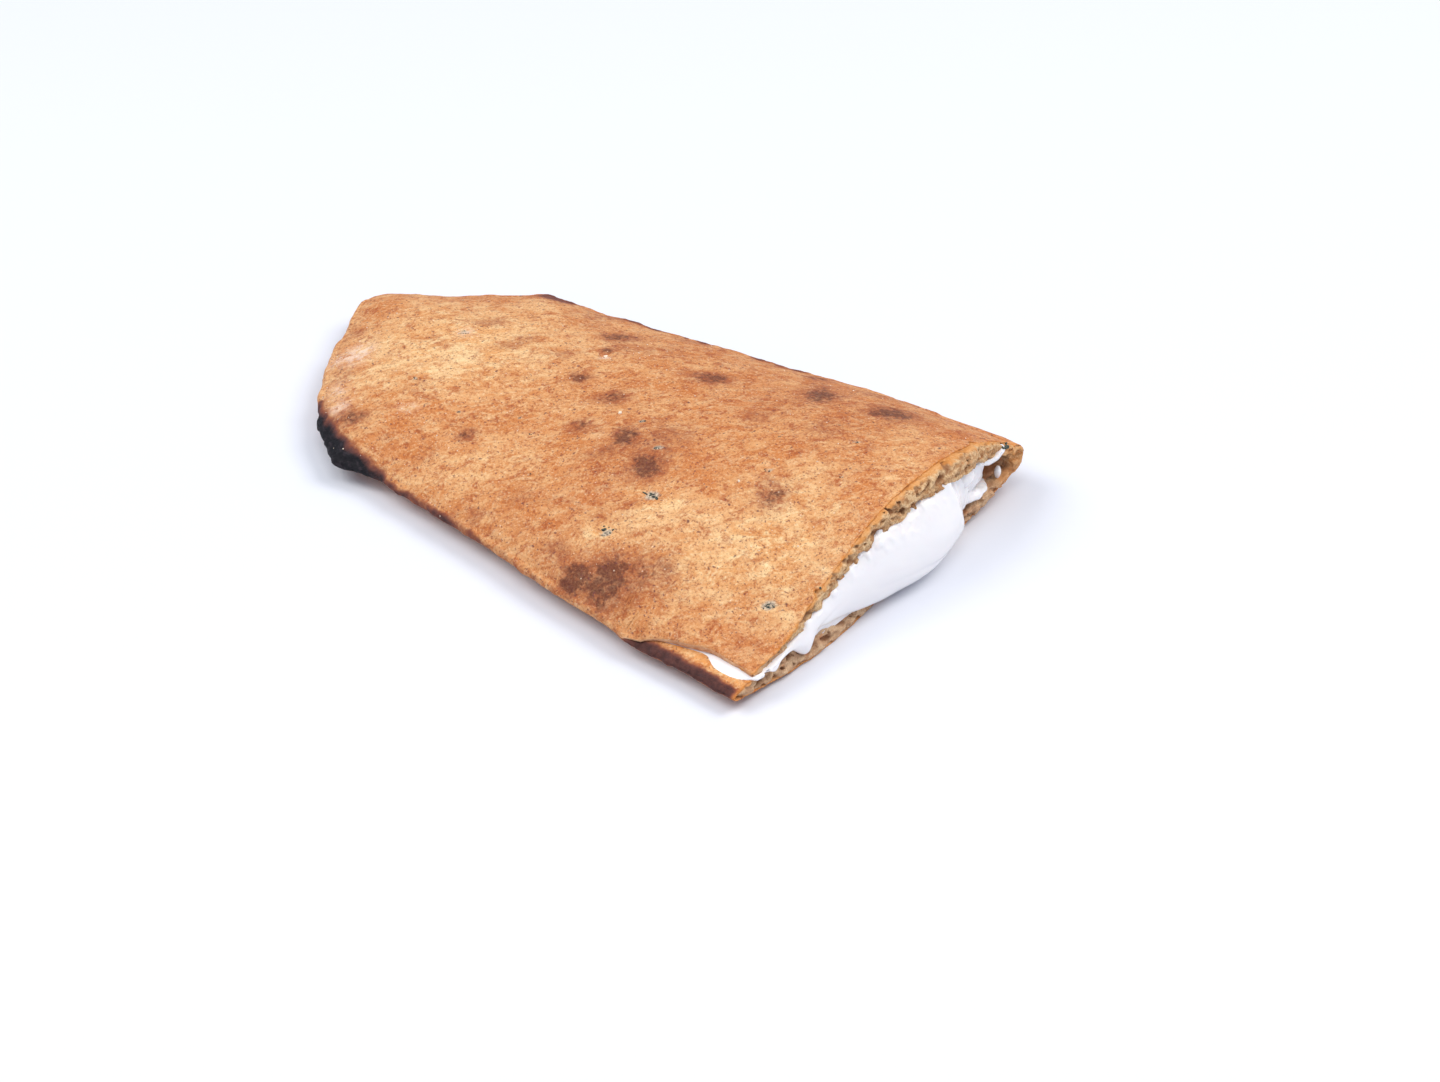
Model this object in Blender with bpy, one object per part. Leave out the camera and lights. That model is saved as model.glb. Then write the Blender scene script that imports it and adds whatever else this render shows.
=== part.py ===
"""Half of a labneh and zaatar sandwich: a pocket flatbread, cut across and filled with labneh.

+X points out of the cut face, +Y from the torn front edge to the folded back edge, +Z up.
All lengths below are millimetres; MM turns them into metres. The working frame has the cut at
x = 0 and the table at z = 0, and the finished pieces are shifted so that the origin lies under
the middle of the sandwich.
"""

import math

import bmesh
import bpy

MM = 0.001

# ---- driving dimensions -----------------------------------------------------------------
HALF_CUT = 57.5        # half the width of the cut face
SIDE = 115.0           # length of the straight stretch behind the cut
CROWN_CUT = 27.0       # height of the crown at the cut
CROWN_END = 17.5       # height of the crown where the rounded end starts
CROWN_OFF = 8.0        # the crown lies this far to the back of the middle at the cut
RIM_FRONT = 5.5        # heights of the rim's middle line
RIM_END = 6.5
RIM_BACK = 8.0
RIM_BACK_CUT = 11.2
RIM_OUT = 1.5          # near the cut the front rim stands out further
RIM_DROP = 1.0         # and lies lower
TOP_SHEET = 4.2        # thickness of the bread's two layers at the crown
BOTTOM_SHEET = 3.7
FRONT_SHEET = 1.8      # both layers thin out towards the front rim
GAP = 0.3              # clearance kept between the bread and the labneh
TEAR_LENGTH = 39.0     # along this stretch the top layer has come away from the front rim
TEAR_WIDTH = 6.5       # and stands back from it this far
# Swellings of the rounded end's rim: size, direction and width in degrees.
END_BUMPS = (
    (18.5, 8, 17), (9.0, -25, 25), (5.0, -62, 11), (7.6, 40, 18), (-1.3, -81, 7), (0.9, -67, 3), (-0.9, -61, 3),
    (1.3, -48, 6), (-1.2, -30, 5), (1.4, -13, 4.5), (2.0, 9, 7), (-2.2, 42, 7), (1.0, 53, 5), (-2.0, 77, 9), (-0.6, 90, 6),
)
LEDGE = 6.2            # height of the bottom layer's bare rim at the torn edge
LEDGE_SLOPE = 0.28     # and how it falls from there to the outside
BEAD_LENGTH = 13.0     # stretch of the tear in which labneh shows
LOBE_FRONT, LOBE_BACK = -51.5, 33.5   # stretch of the cut from which labneh bulges
LOBE_OUT = 6.6         # how far it bulges in the middle, beyond its even layer
LAYER_OUT = 1.3

# ---- grid sizes -------------------------------------------------------------------------
STATIONS = 13          # rows along each side
FAN = 30               # steps round the closed end
RINGS = 9              # steps from the crown line to the rim
EDGE = 3               # steps round the rim


def lerp(a, b, t):
    return a + (b - a) * t


def smooth(a, b, x):
    t = min(1.0, max(0.0, (x - a) / (b - a)))
    return t * t * (3 - 2 * t)


def bump(x, centre, width):
    return math.exp(-(((x - centre) / width) ** 2))


# ---- outline ----------------------------------------------------------------------------
def side_line(x):
    s = -x / SIDE
    line = HALF_CUT + 1.2 * math.sin(math.pi * min(1.0, max(0.0, s / 0.8))) - 8.0 * smooth(0.4, 1.05, s)
    return -line + 2.1 * smooth(0.26, 0.41, s) * (1 - smooth(0.62, 0.92, s))


def front_y(x):
    return side_line(x) - RIM_OUT * (1 - smooth(0.0, 18.0, -x))


def back_y(x):
    s = -x / SIDE
    line = HALF_CUT + 0.5 - 1.6 * smooth(0.0, 0.25, s) - 11.5 * smooth(0.25, 1.08, s)
    return line + 1.1 * bump(x, -90, 12) - 0.6 * bump(x, -115, 8)


def end_radius(psi):
    """Distance of the rim from the middle of the rounded end; psi runs from -90 (front) to 90 (back)."""
    radius = lerp(50.3, 45.5, smooth(-90, 90, psi))
    for size, centre, width in END_BUMPS:
        radius += size * bump(psi, centre, width)
    return radius


class Ray:
    """A line from the crown to the rim. side is -1 at the front, 0 at the tip and 1 at the back."""

    def __init__(self, x, psi):
        self.x, self.psi = x, psi
        self.side = math.sin(math.radians(psi))
        self.back = smooth(-1, 1, self.side)
        self.end = abs(math.cos(math.radians(psi))) ** 1.5
        self.s = min(1.0, max(0.0, -x / SIDE))
        self.spine = (x, CROWN_OFF * (1 + x / SIDE))
        if psi <= -90:
            self.rim = (x, front_y(x))
        elif psi >= 90:
            self.rim = (x, back_y(x))
        else:
            r, a = end_radius(psi), math.radians(psi)
            self.rim = (x - r * math.cos(a), r * math.sin(a))
        self.crown = lerp(CROWN_CUT, CROWN_END, smooth(0, 1, self.s))
        # The fold at the back is blunt at the cut, and thinner away from it.
        edge_back = lerp(8.4, 4.5, smooth(0, 0.35, self.s))
        fold_top = lerp(RIM_BACK_CUT, RIM_BACK, smooth(0, 0.9, self.s)) + lerp(2.8, 2.25, smooth(0, 0.3, self.s))
        self.drop = RIM_DROP * (1 - self.back) * (1 - smooth(28, 42, -x))
        self.rim_z = lerp(lerp(RIM_FRONT, fold_top - edge_back / 2, self.back), RIM_END, self.end) - self.drop
        self.edge = lerp(lerp(2.6, edge_back, self.back), 3.6, self.end)

    def plan(self, r):
        return (lerp(self.spine[0], self.rim[0], r), lerp(self.spine[1], self.rim[1], r))

    def top(self, r):
        """Height of the upper crust: a bell at the front of the cut, where the layers are pressed
        together, and a dome elsewhere."""
        bell = 0.5 * (1 + math.cos(math.pi * r))
        dome = (1 - r**2.3) ** 0.8
        drop = (1 - r**2.4) ** 0.88
        pressed = 0.9 * (1 - smooth(0.0, 0.45, self.s))
        f = lerp(lerp(dome, bell, pressed), drop, self.back)
        low = self.rim_z + self.drop * (1 - r**6) + self.edge / 2
        x, y = self.plan(r)
        lift = 0.9 * bump(r, 0.93, 0.12) * pressed * (1 - self.back)
        sway = 0.5 * math.sin(x / 17.0 + y / 23.0) + 0.35 * math.sin(x / 9.5 - y / 14.0 + 1.0)
        return low + (self.crown - low) * f + lift + sway * (1 - r) * 1.2 * min(1.0, r * 4)

    def bottom(self, r):
        """Height of the lower crust: flat on the table, rising to the rim."""
        start = lerp(lerp(0.45, 0.55, self.s), 0.22, self.back * (1 - self.s) ** 2)
        power = lerp(2.3, lerp(2.0, 1.8, self.s), self.back)
        return (self.rim_z - self.edge / 2) * max(0.0, (r - start) / (1 - start)) ** power

    def inner(self, r, gap=0.0):
        """(top, bottom) heights of the hollow at r, as far as it reaches."""
        thin = r**3 * (1 - self.back)
        upper = lerp(TOP_SHEET, FRONT_SHEET, thin) + 1.3 * self.back * bump(r, 0.8, 0.35) * smooth(0, 0.4, r) * (1 - self.s)
        up = self.top(r) - upper * lerp(1.0, 0.85, self.s)
        down = self.bottom(r) + lerp(BOTTOM_SHEET, FRONT_SHEET, thin) - 1.2 * self.back * smooth(0.75, 1.0, r) * (1 - self.s)
        if up - down < 0.5:
            up = down = (up + down) / 2
        return up - gap, down + gap

    def reach(self):
        """The r at which the hollow pinches shut."""
        low, high = 0.3, 1.0 - 0.55 * self.edge / math.dist(self.spine, self.rim)
        if self.inner(high)[0] - self.inner(high)[1] > 0.6:
            return high
        for _ in range(24):
            mid = (low + high) / 2
            up, down = self.inner(mid)
            low, high = (mid, high) if up - down > 0.6 else (low, mid)
        return low


def rays():
    """Rays from the front cut corner, round the closed end, to the back cut corner."""
    front = [Ray(-SIDE * i / STATIONS, -90.0) for i in range(STATIONS)]
    fan = [Ray(-SIDE, lerp(-90.0, 90.0, i / FAN)) for i in range(FAN + 1)]
    back = [Ray(-SIDE * i / STATIONS, 90.0) for i in range(STATIONS - 1, -1, -1)]
    return front + fan + back


class Builder:
    """Collects vertices, merging those at the same place, and faces."""

    def __init__(self):
        self.points, self.index, self.faces = [], {}, []

    def vertex(self, x, y, z):
        key = (round(x, 4), round(y, 4), round(z, 4))
        if key not in self.index:
            self.index[key] = len(self.points)
            self.points.append((x * MM, y * MM, z * MM))
        return self.index[key]

    def face(self, *corners):
        kept = [c for i, c in enumerate(corners) if c != corners[i - 1]]
        if len(set(kept)) >= 3:
            self.faces.append(kept)

    def quads(self, a, b):
        """A strip between two rows of vertices."""
        for i in range(len(a) - 1):
            self.face(a[i], b[i], b[i + 1], a[i + 1])

    def object(self, name, material, smooth_angle=40.0):
        mesh = bpy.data.meshes.new(name)
        mesh.from_pydata(self.points, [], self.faces)
        bm = bmesh.new()
        bm.from_mesh(mesh)
        bmesh.ops.triangulate(bm, faces=bm.faces[:])
        bmesh.ops.recalc_face_normals(bm, faces=bm.faces[:])
        bm.to_mesh(mesh)
        bm.free()
        obj = bpy.data.objects.new(name, mesh)
        bpy.context.scene.collection.objects.link(obj)
        mesh.materials.append(material)
        mesh.shade_smooth()
        mesh.set_sharp_from_angle(angle=math.radians(smooth_angle))
        return obj


def material(name, colour, roughness):
    made = bpy.data.materials.new(name)
    made.use_nodes = True
    shader = made.node_tree.nodes["Principled BSDF"]
    shader.inputs["Base Color"].default_value = (*colour, 1.0)
    shader.inputs["Roughness"].default_value = roughness
    shader.inputs["Metallic"].default_value = 0.0
    return made


# ---- bread ------------------------------------------------------------------------------
def outer_row(build, ray):
    """Crust section from the crown, over the rim, to the middle of the underside."""
    span = math.dist(ray.spine, ray.rim)
    inset = ray.edge / 2 / span
    row = []
    for k in range(RINGS + 1):
        share = (k / RINGS) ** 0.85
        x, y = ray.plan(share * (1 - inset))
        row.append(build.vertex(x, y, ray.top(share)))
    for k in range(1, EDGE):
        a = math.pi * k / EDGE
        x, y = ray.plan(1 - inset + inset * math.sin(a))
        row.append(build.vertex(x, y, ray.rim_z + ray.edge / 2 * math.cos(a)))
    for k in range(RINGS, -1, -1):
        share = (k / RINGS) ** 0.85
        x, y = ray.plan(share * (1 - inset))
        row.append(build.vertex(x, y, ray.bottom(share)))
    return row


def inner_row(build, ray):
    """Section of the hollow, crown to pinch to underside."""
    reach = ray.reach()
    up, down = [], []
    for k in range(RINGS + 1):
        r = reach * (k / RINGS) ** 0.9
        x, y = ray.plan(r)
        high, low = ray.inner(r)
        if k == RINGS:
            high = low = (high + low) / 2
        up.append(build.vertex(x, y, high))
        down.append(build.vertex(x, y, low))
    return up + down[-2::-1]


def bread(crust):
    build = Builder()
    lines = rays()
    outer = [outer_row(build, ray) for ray in lines]
    inner = [inner_row(build, ray) for ray in lines]
    for a, b in zip(outer, outer[1:]):
        build.quads(a, b)
    for a, b in zip(inner, inner[1:]):
        build.quads(b, a)
    for out, hollow in ((outer[0], inner[0]), (outer[-1], inner[-1])):
        for k in range(RINGS):
            build.face(out[k], out[k + 1], hollow[k + 1], hollow[k])
            build.face(out[-1 - k], out[-2 - k], hollow[-2 - k], hollow[-1 - k])
        for k in range(RINGS, RINGS + EDGE):
            build.face(out[k], out[k + 1], hollow[RINGS])
    return build.object("bread", crust)


def torn_y(x):
    """Where the top layer's torn edge runs, from the rim to its widest and on to the cut."""
    back_off = smooth(-TEAR_LENGTH, -12.0, x) * (1 - 0.18 * smooth(-5.0, 0.0, x))
    return side_line(x) - 0.5 + TEAR_WIDTH * back_off + 0.25 * math.sin(x / 2.1 + 1) * back_off


def ledge(x, y):
    """Height of the bottom layer's bare rim at x, y."""
    return LEDGE - LEDGE_SLOPE * (torn_y(min(x, 0.0)) - y) + 0.9 * (1 - smooth(-TEAR_LENGTH, -TEAR_LENGTH + 12, x))


def tear_cutter():
    """Takes away the top layer's rim in front of the torn edge, down to the ledge."""
    build = Builder()
    steps = 12
    rows = []
    for i in range(steps + 1):
        x = lerp(1.0, -TEAR_LENGTH - 1.0, i / steps)
        y = torn_y(min(x, 0.0))
        rows.append([build.vertex(x, -75.0, ledge(x, -75.0)), build.vertex(x, y, ledge(x, y)), build.vertex(x, y, 30.0), build.vertex(x, -75.0, 30.0)])
    for a, b in zip(rows, rows[1:]):
        for k in range(4):
            build.face(a[k], a[(k + 1) % 4], b[(k + 1) % 4], b[k])
    build.face(*rows[0])
    build.face(*rows[-1][::-1])
    cutter = build.object("tear_cutter", bpy.data.materials["bread_crust"])
    cutter.hide_render = True
    cutter.display_type = "WIRE"
    return cutter


# ---- labneh -----------------------------------------------------------------------------
def filling_section(x, shrink=1.0):
    """Loop of (y, z) round the labneh inside the pocket at x, from the front over the top to the
    back and along the bottom. Near the cut it stops short of the back corner, left hollow."""
    front, back = Ray(x, -90.0), Ray(x, 90.0)
    reach_back = back.reach() * 0.97
    ends = (front.reach() * 0.99, lerp(0.62 * reach_back, reach_back, smooth(0.0, 22.0, -x)))
    round_from = (0.9, lerp(0.6, 0.9, smooth(0.0, 22.0, -x)))
    top, bottom = [], []
    steps = 10
    for k in range(-steps, steps + 1):
        which = 0 if k < 0 else 1
        ray = (front, back)[which]
        f = math.sin(math.pi / 2 * abs(k) / steps)
        r = ends[which] * f * shrink
        _, y = ray.plan(r)
        high, low = ray.inner(r, GAP)
        middle = (high + low) / 2
        w = math.sqrt(max(0.0, 1 - max(0.0, (f - round_from[which]) / (1 - round_from[which])) ** 2))
        half = max(0.0, (high - low) / 2) * w
        top.append((y, middle + half))
        bottom.append((y, middle - half))
    return top + bottom[-2:0:-1]


def stitch(build, loops):
    n = len(loops[0])
    for a, b in zip(loops, loops[1:]):
        for k in range(n):
            build.face(a[k], a[(k + 1) % n], b[(k + 1) % n], b[k])
    for loop in (loops[0], loops[-1]):
        for k in range(n // 2):
            build.face(loop[k], loop[k + 1], loop[(n - 1 - k) % n], loop[(n - k) % n])


def labneh_core(cream):
    build = Builder()
    loops = []
    out = [(y * 0.95, lerp(13.0, z, 0.8)) for y, z in filling_section(0.0, 0.97)]
    loops.append([build.vertex(0.8, y, z) for y, z in out])
    for i in range(STATIONS + 1):
        x = -SIDE * i / STATIONS
        loops.append([build.vertex(x, y, z) for y, z in filling_section(x)])
    # The filling thins out and ends inside the closed end.
    last = filling_section(-SIDE)
    centre = (min(y for y, _ in last) + max(y for y, _ in last)) / 2
    tall = max(z for _, z in last) - min(z for _, z in last)
    middle_last = (max(z for _, z in last) + min(z for _, z in last)) / 2
    tip = Ray(-SIDE, 0.0)
    for away, scale in ((14.0, 0.93), (25.0, 0.78), (34.0, 0.55), (40.0, 0.26)):
        high, low = tip.inner(away / math.dist(tip.spine, tip.rim), GAP + 0.3)
        ratio = (high - low) / tall * lerp(0.55, 0.95, scale)
        loops.append([build.vertex(-SIDE - away, lerp(centre, y, scale), (high + low) / 2 + (z - middle_last) * ratio) for y, z in last])
    stitch(build, loops)
    return build.object("labneh", cream)


def lobe_out(y):
    """How far the labneh stands out of the cut at y."""
    swell = LOBE_OUT * bump(y, 14.0, 22.0 if y < 14.0 else 14.0)
    return LAYER_OUT + swell + 2.0 * bump(y, -37.5, 3.6)


def lobe(cream):
    """The labneh squeezed out of the cut: it bulges most towards the back and hangs down over the
    bottom layer's edge, with a small drip near the front."""
    build = Builder()
    across, around = 30, 10
    loops = []
    for i in range(across + 1):
        t = i / across
        y = lerp(LOBE_FRONT, LOBE_BACK, t)
        ray = Ray(0.0, -90.0 if y < CROWN_OFF else 90.0)
        r = (y - ray.spine[1]) / (ray.rim[1] - ray.spine[1])
        high, low = ray.inner(r, GAP)
        body = bump(y, 10.0, 20.0)
        hang = lerp(low, 1.6, min(1.0, body + 0.7 * bump(y, -37.5, 3.6)))
        fade = math.sqrt(max(0.0, 1 - max(0.0, (t - 0.88) / 0.12) ** 2, )) if t > 0.88 else 1.0
        fade = max(0.25, fade) * lerp(0.6, 1.0, smooth(0.0, 0.1, t))
        middle = (high + hang) / 2
        half = max(0.55, (high - hang) / 2 * fade)
        out = lobe_out(y) * fade
        row = [build.vertex(0.45, y, middle + half)]
        for k in range(1, around):
            a = math.pi * k / around
            # The widest point lies a little below the middle, as in something soft that sags.
            z = middle + half * math.cos(a) - 0.12 * half * math.sin(a)
            row.append(build.vertex(0.45 + out * math.sin(a) ** 0.85, y, z))
        row.append(build.vertex(0.45, y, middle - half))
        loops.append(row)
    for a, b in zip(loops, loops[1:]):
        build.quads(a, b)
        build.face(a[0], a[-1], b[-1], b[0])
    for row in (loops[0], loops[-1]):
        for k in range(around // 2):
            build.face(row[k], row[k + 1], row[around - 1 - k], row[around - k])
    return build.object("lobe", cream)


def bead(cream):
    """The strip of labneh that shows in the tear, running on round the corner into the lobe."""
    build = Builder()
    steps, around = 8, 8
    path = []
    for i in range(steps + 1):
        t = i / steps
        x = lerp(-BEAD_LENGTH, 0.2, t)
        size = math.sqrt(max(0.05, 1 - (1 - t) ** 3)) * (1 - 0.3 * smooth(0.75, 1.0, t))
        y = torn_y(x) - GAP - 1.45 * size - 0.1
        path.append((x, y, ledge(x, y) + GAP + 0.75 * size, 1.45 * size, 0.62 * size))
    path += [(1.3, -53.9, 6.6, 0.75, 0.7), (1.3, -52.4, 6.4, 0.7, 0.7), (1.2, -50.0, 6.0, 0.6, 0.6)]
    loops = []
    for i, (x, y, z, wide, high) in enumerate(path):
        before, after = path[max(0, i - 1)], path[min(len(path) - 1, i + 1)]
        length = math.hypot(after[0] - before[0], after[1] - before[1])
        nx, ny = -(after[1] - before[1]) / length, (after[0] - before[0]) / length
        loop = []
        for k in range(around):
            c, d = math.cos(math.tau * k / around), math.sin(math.tau * k / around)
            loop.append(build.vertex(x + nx * wide * c, y + ny * wide * c, z + high * d))
        loops.append(loop)
    stitch(build, loops)
    return build.object("bead", cream)


def main():
    for obj in list(bpy.data.objects):
        bpy.data.objects.remove(obj)
    crust = material("bread_crust", (0.55, 0.25, 0.085), 0.75)
    cream = material("labneh_white", (0.86, 0.84, 0.82), 0.3)

    pocket = bread(crust)
    cutter = tear_cutter()
    cut = pocket.modifiers.new("tear", "BOOLEAN")
    cut.operation, cut.solver, cut.object = "DIFFERENCE", "EXACT", cutter

    filling = labneh_core(cream)
    squeezed = [lobe(cream), bead(cream)]
    for piece in squeezed:
        piece.hide_render = True
        piece.display_type = "WIRE"
        join = filling.modifiers.new(piece.name, "BOOLEAN")
        join.operation, join.solver, join.object = "UNION", "EXACT", piece

    # The origin lies on the table under the middle of the sandwich's box.
    bpy.context.view_layer.update()
    graph = bpy.context.evaluated_depsgraph_get()
    corners = []
    for obj in (pocket, filling):
        shape = obj.evaluated_get(graph).to_mesh()
        corners += [tuple(v.co) for v in shape.vertices]
        obj.evaluated_get(graph).to_mesh_clear()
    low = [min(c[i] for c in corners) for i in range(3)]
    high = [max(c[i] for c in corners) for i in range(3)]
    shift = (-(low[0] + high[0]) / 2, -(low[1] + high[1]) / 2, -low[2])
    for obj in (pocket, cutter, filling, *squeezed):
        obj.location = shift
    bpy.context.view_layer.update()
    print("shift mm", [round(s / MM, 3) for s in shift], "size mm", [round((h - l) / MM, 2) for l, h in zip(low, high)])


main()
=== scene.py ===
"""Looks of the half labneh and zaatar sandwich: crust, crumb, labneh, herb flecks and flour grains.

The shapes follow the part's own sizes, in millimetres, with the cut at x = 0 and the table at z = 0;
SHIFT moves them to where the part stands.
"""

import math

import bpy
import numpy as np
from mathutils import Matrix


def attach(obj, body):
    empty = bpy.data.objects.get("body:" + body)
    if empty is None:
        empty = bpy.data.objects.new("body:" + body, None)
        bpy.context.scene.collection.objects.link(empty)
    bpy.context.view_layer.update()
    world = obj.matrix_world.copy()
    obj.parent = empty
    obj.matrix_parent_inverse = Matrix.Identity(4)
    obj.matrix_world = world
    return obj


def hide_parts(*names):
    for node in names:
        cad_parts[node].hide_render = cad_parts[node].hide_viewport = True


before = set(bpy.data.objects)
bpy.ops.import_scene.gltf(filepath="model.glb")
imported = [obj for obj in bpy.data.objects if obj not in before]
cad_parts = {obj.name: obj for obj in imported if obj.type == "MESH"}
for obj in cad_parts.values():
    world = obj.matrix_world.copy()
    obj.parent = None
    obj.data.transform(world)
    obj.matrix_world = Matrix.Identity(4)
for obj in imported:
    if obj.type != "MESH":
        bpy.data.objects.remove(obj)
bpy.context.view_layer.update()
SHIFT = (87.874, 0.694, 0.0)

# ---- sizes, as in the part ----------------------------------------------------------------
HALF_CUT = 57.5
SIDE = 115.0
CROWN_CUT, CROWN_END, CROWN_OFF = 27.0, 17.5, 8.0
RIM_FRONT, RIM_END, RIM_BACK, RIM_BACK_CUT = 5.5, 6.5, 8.0, 11.2
TOP_SHEET, BOTTOM_SHEET, FRONT_SHEET = 4.2, 3.7, 1.8
RIM_OUT, RIM_DROP = 1.5, 1.0
TEAR_LENGTH, TEAR_WIDTH = 39.0, 6.5
LEDGE = 6.2
END_BUMPS = (
    (18.5, 8, 17), (9.0, -25, 25), (5.0, -62, 11), (7.6, 40, 18), (-1.3, -81, 7), (0.9, -67, 3), (-0.9, -61, 3),
    (1.3, -48, 6), (-1.2, -30, 5), (1.4, -13, 4.5), (2.0, 9, 7), (-2.2, 42, 7), (1.0, 53, 5), (-2.0, 77, 9), (-0.6, 90, 6),
)


def lerp(a, b, t):
    return a + (b - a) * t


def smooth(a, b, x):
    t = np.clip((x - a) / (b - a), 0.0, 1.0)
    return t * t * (3 - 2 * t)


def bump(x, centre, width):
    return np.exp(-(((x - centre) / width) ** 2))


def side_line(x):
    s = -x / SIDE
    line = HALF_CUT + 1.2 * np.sin(np.pi * np.clip(s / 0.8, 0, 1)) - 8.0 * smooth(0.4, 1.05, s)
    return -line + 2.1 * smooth(0.26, 0.41, s) * (1 - smooth(0.62, 0.92, s))


def front_y(x):
    return side_line(x) - RIM_OUT * (1 - smooth(0.0, 18.0, -x))


def back_y(x):
    s = -x / SIDE
    line = HALF_CUT + 0.5 - 1.6 * smooth(0.0, 0.25, s) - 11.5 * smooth(0.25, 1.08, s)
    return line + 1.1 * bump(x, -90, 12) - 0.6 * bump(x, -115, 8)


def end_radius(psi):
    radius = lerp(50.3, 45.5, smooth(-90, 90, psi))
    for size, centre, width in END_BUMPS:
        radius = radius + size * bump(psi, centre, width)
    return radius


class Rays:
    """Lines from the crown to the rim, as columns of numbers; psi is -90 at the front and 90 at the back."""

    def __init__(self, x, psi):
        x, psi = np.broadcast_arrays(np.asarray(x, float), np.asarray(psi, float))
        self.x, self.psi = x, psi
        a = np.radians(psi)
        self.side = np.sin(a)
        self.back = smooth(-1, 1, self.side)
        self.end = np.abs(np.cos(a)) ** 1.5
        self.s = np.clip(-x / SIDE, 0, 1)
        self.sx, self.sy = x, CROWN_OFF * (1 + x / SIDE)
        r = end_radius(psi)
        self.rx = np.where(np.abs(psi) >= 90, x, x - r * np.cos(a))
        self.ry = np.where(psi <= -90, front_y(x), np.where(psi >= 90, back_y(x), r * np.sin(a)))
        self.span = np.hypot(self.rx - self.sx, self.ry - self.sy)
        self.crown = lerp(CROWN_CUT, CROWN_END, smooth(0, 1, self.s))
        edge_back = lerp(8.4, 4.5, smooth(0, 0.35, self.s))
        fold_top = lerp(RIM_BACK_CUT, RIM_BACK, smooth(0, 0.9, self.s)) + lerp(2.8, 2.25, smooth(0, 0.3, self.s))
        self.drop = RIM_DROP * (1 - self.back) * (1 - smooth(28, 42, -x))
        self.rim_z = lerp(lerp(RIM_FRONT, fold_top - edge_back / 2, self.back), RIM_END, self.end) - self.drop
        self.edge = lerp(lerp(2.6, edge_back, self.back), 3.6, self.end)

    def plan(self, r):
        return lerp(self.sx, self.rx, r), lerp(self.sy, self.ry, r)

    def top(self, r):
        r = np.clip(r, 0, 1)
        bell = 0.5 * (1 + np.cos(np.pi * r))
        dome = (1 - r**2.3) ** 0.8
        drop = (1 - r**2.4) ** 0.88
        pressed = 0.9 * (1 - smooth(0.0, 0.45, self.s))
        f = lerp(lerp(dome, bell, pressed), drop, self.back)
        low = self.rim_z + self.drop * (1 - r**6) + self.edge / 2
        x, y = self.plan(r)
        lift = 0.9 * bump(r, 0.93, 0.12) * pressed * (1 - self.back)
        sway = 0.5 * np.sin(x / 17.0 + y / 23.0) + 0.35 * np.sin(x / 9.5 - y / 14.0 + 1.0)
        return low + (self.crown - low) * f + lift + sway * (1 - r) * 1.2 * np.minimum(1.0, r * 4)

    def bottom(self, r):
        start = lerp(lerp(0.45, 0.55, self.s), 0.22, self.back * (1 - self.s) ** 2)
        power = lerp(2.3, lerp(2.0, 1.8, self.s), self.back)
        return (self.rim_z - self.edge / 2) * np.maximum(0.0, (np.clip(r, 0, 1) - start) / (1 - start)) ** power

    def inner(self, r, gap=0.0):
        thin = r**3 * (1 - self.back)
        upper = lerp(TOP_SHEET, FRONT_SHEET, thin) + 1.3 * self.back * bump(r, 0.8, 0.35) * smooth(0, 0.4, r) * (1 - self.s)
        up = self.top(r) - upper * lerp(1.0, 0.85, self.s)
        down = self.bottom(r) + lerp(BOTTOM_SHEET, FRONT_SHEET, thin) - 1.2 * self.back * smooth(0.75, 1.0, r) * (1 - self.s)
        pinched = up - down < 0.5
        middle = (up + down) / 2
        return np.where(pinched, middle, up) - gap, np.where(pinched, middle, down) + gap

    def reach(self):
        low = np.full(self.x.shape, 0.3)
        high = 1.0 - 0.55 * self.edge / self.span
        open_end = np.subtract(*self.inner(high)) > 0.6
        top = high.copy()
        for _ in range(26):
            mid = (low + high) / 2
            wide = np.subtract(*self.inner(mid)) > 0.6
            low, high = np.where(wide, mid, low), np.where(wide, high, mid)
        return np.where(open_end, top, low)


def torn_y(x):
    b = smooth(-TEAR_LENGTH, -12.0, x) * (1 - 0.18 * smooth(-5.0, 0.0, x))
    return side_line(x) - 0.5 + TEAR_WIDTH * b + 0.25 * np.sin(x / 2.1 + 1) * b


# ---- noise --------------------------------------------------------------------------------
def scramble(i, j, k, seed):
    h = i * np.uint64(374761393) + j * np.uint64(668265263) + k * np.uint64(2147483629) + np.uint64(seed * 974634777 % 2**32)
    h = (h ^ (h >> np.uint64(13))) & np.uint64(0xFFFFFFFF)
    h = (h * np.uint64(1274126177)) & np.uint64(0xFFFFFFFF)
    h = h ^ (h >> np.uint64(15))
    h = (h * np.uint64(2246822519)) & np.uint64(0xFFFFFFFF)
    return h ^ (h >> np.uint64(16))


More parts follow.
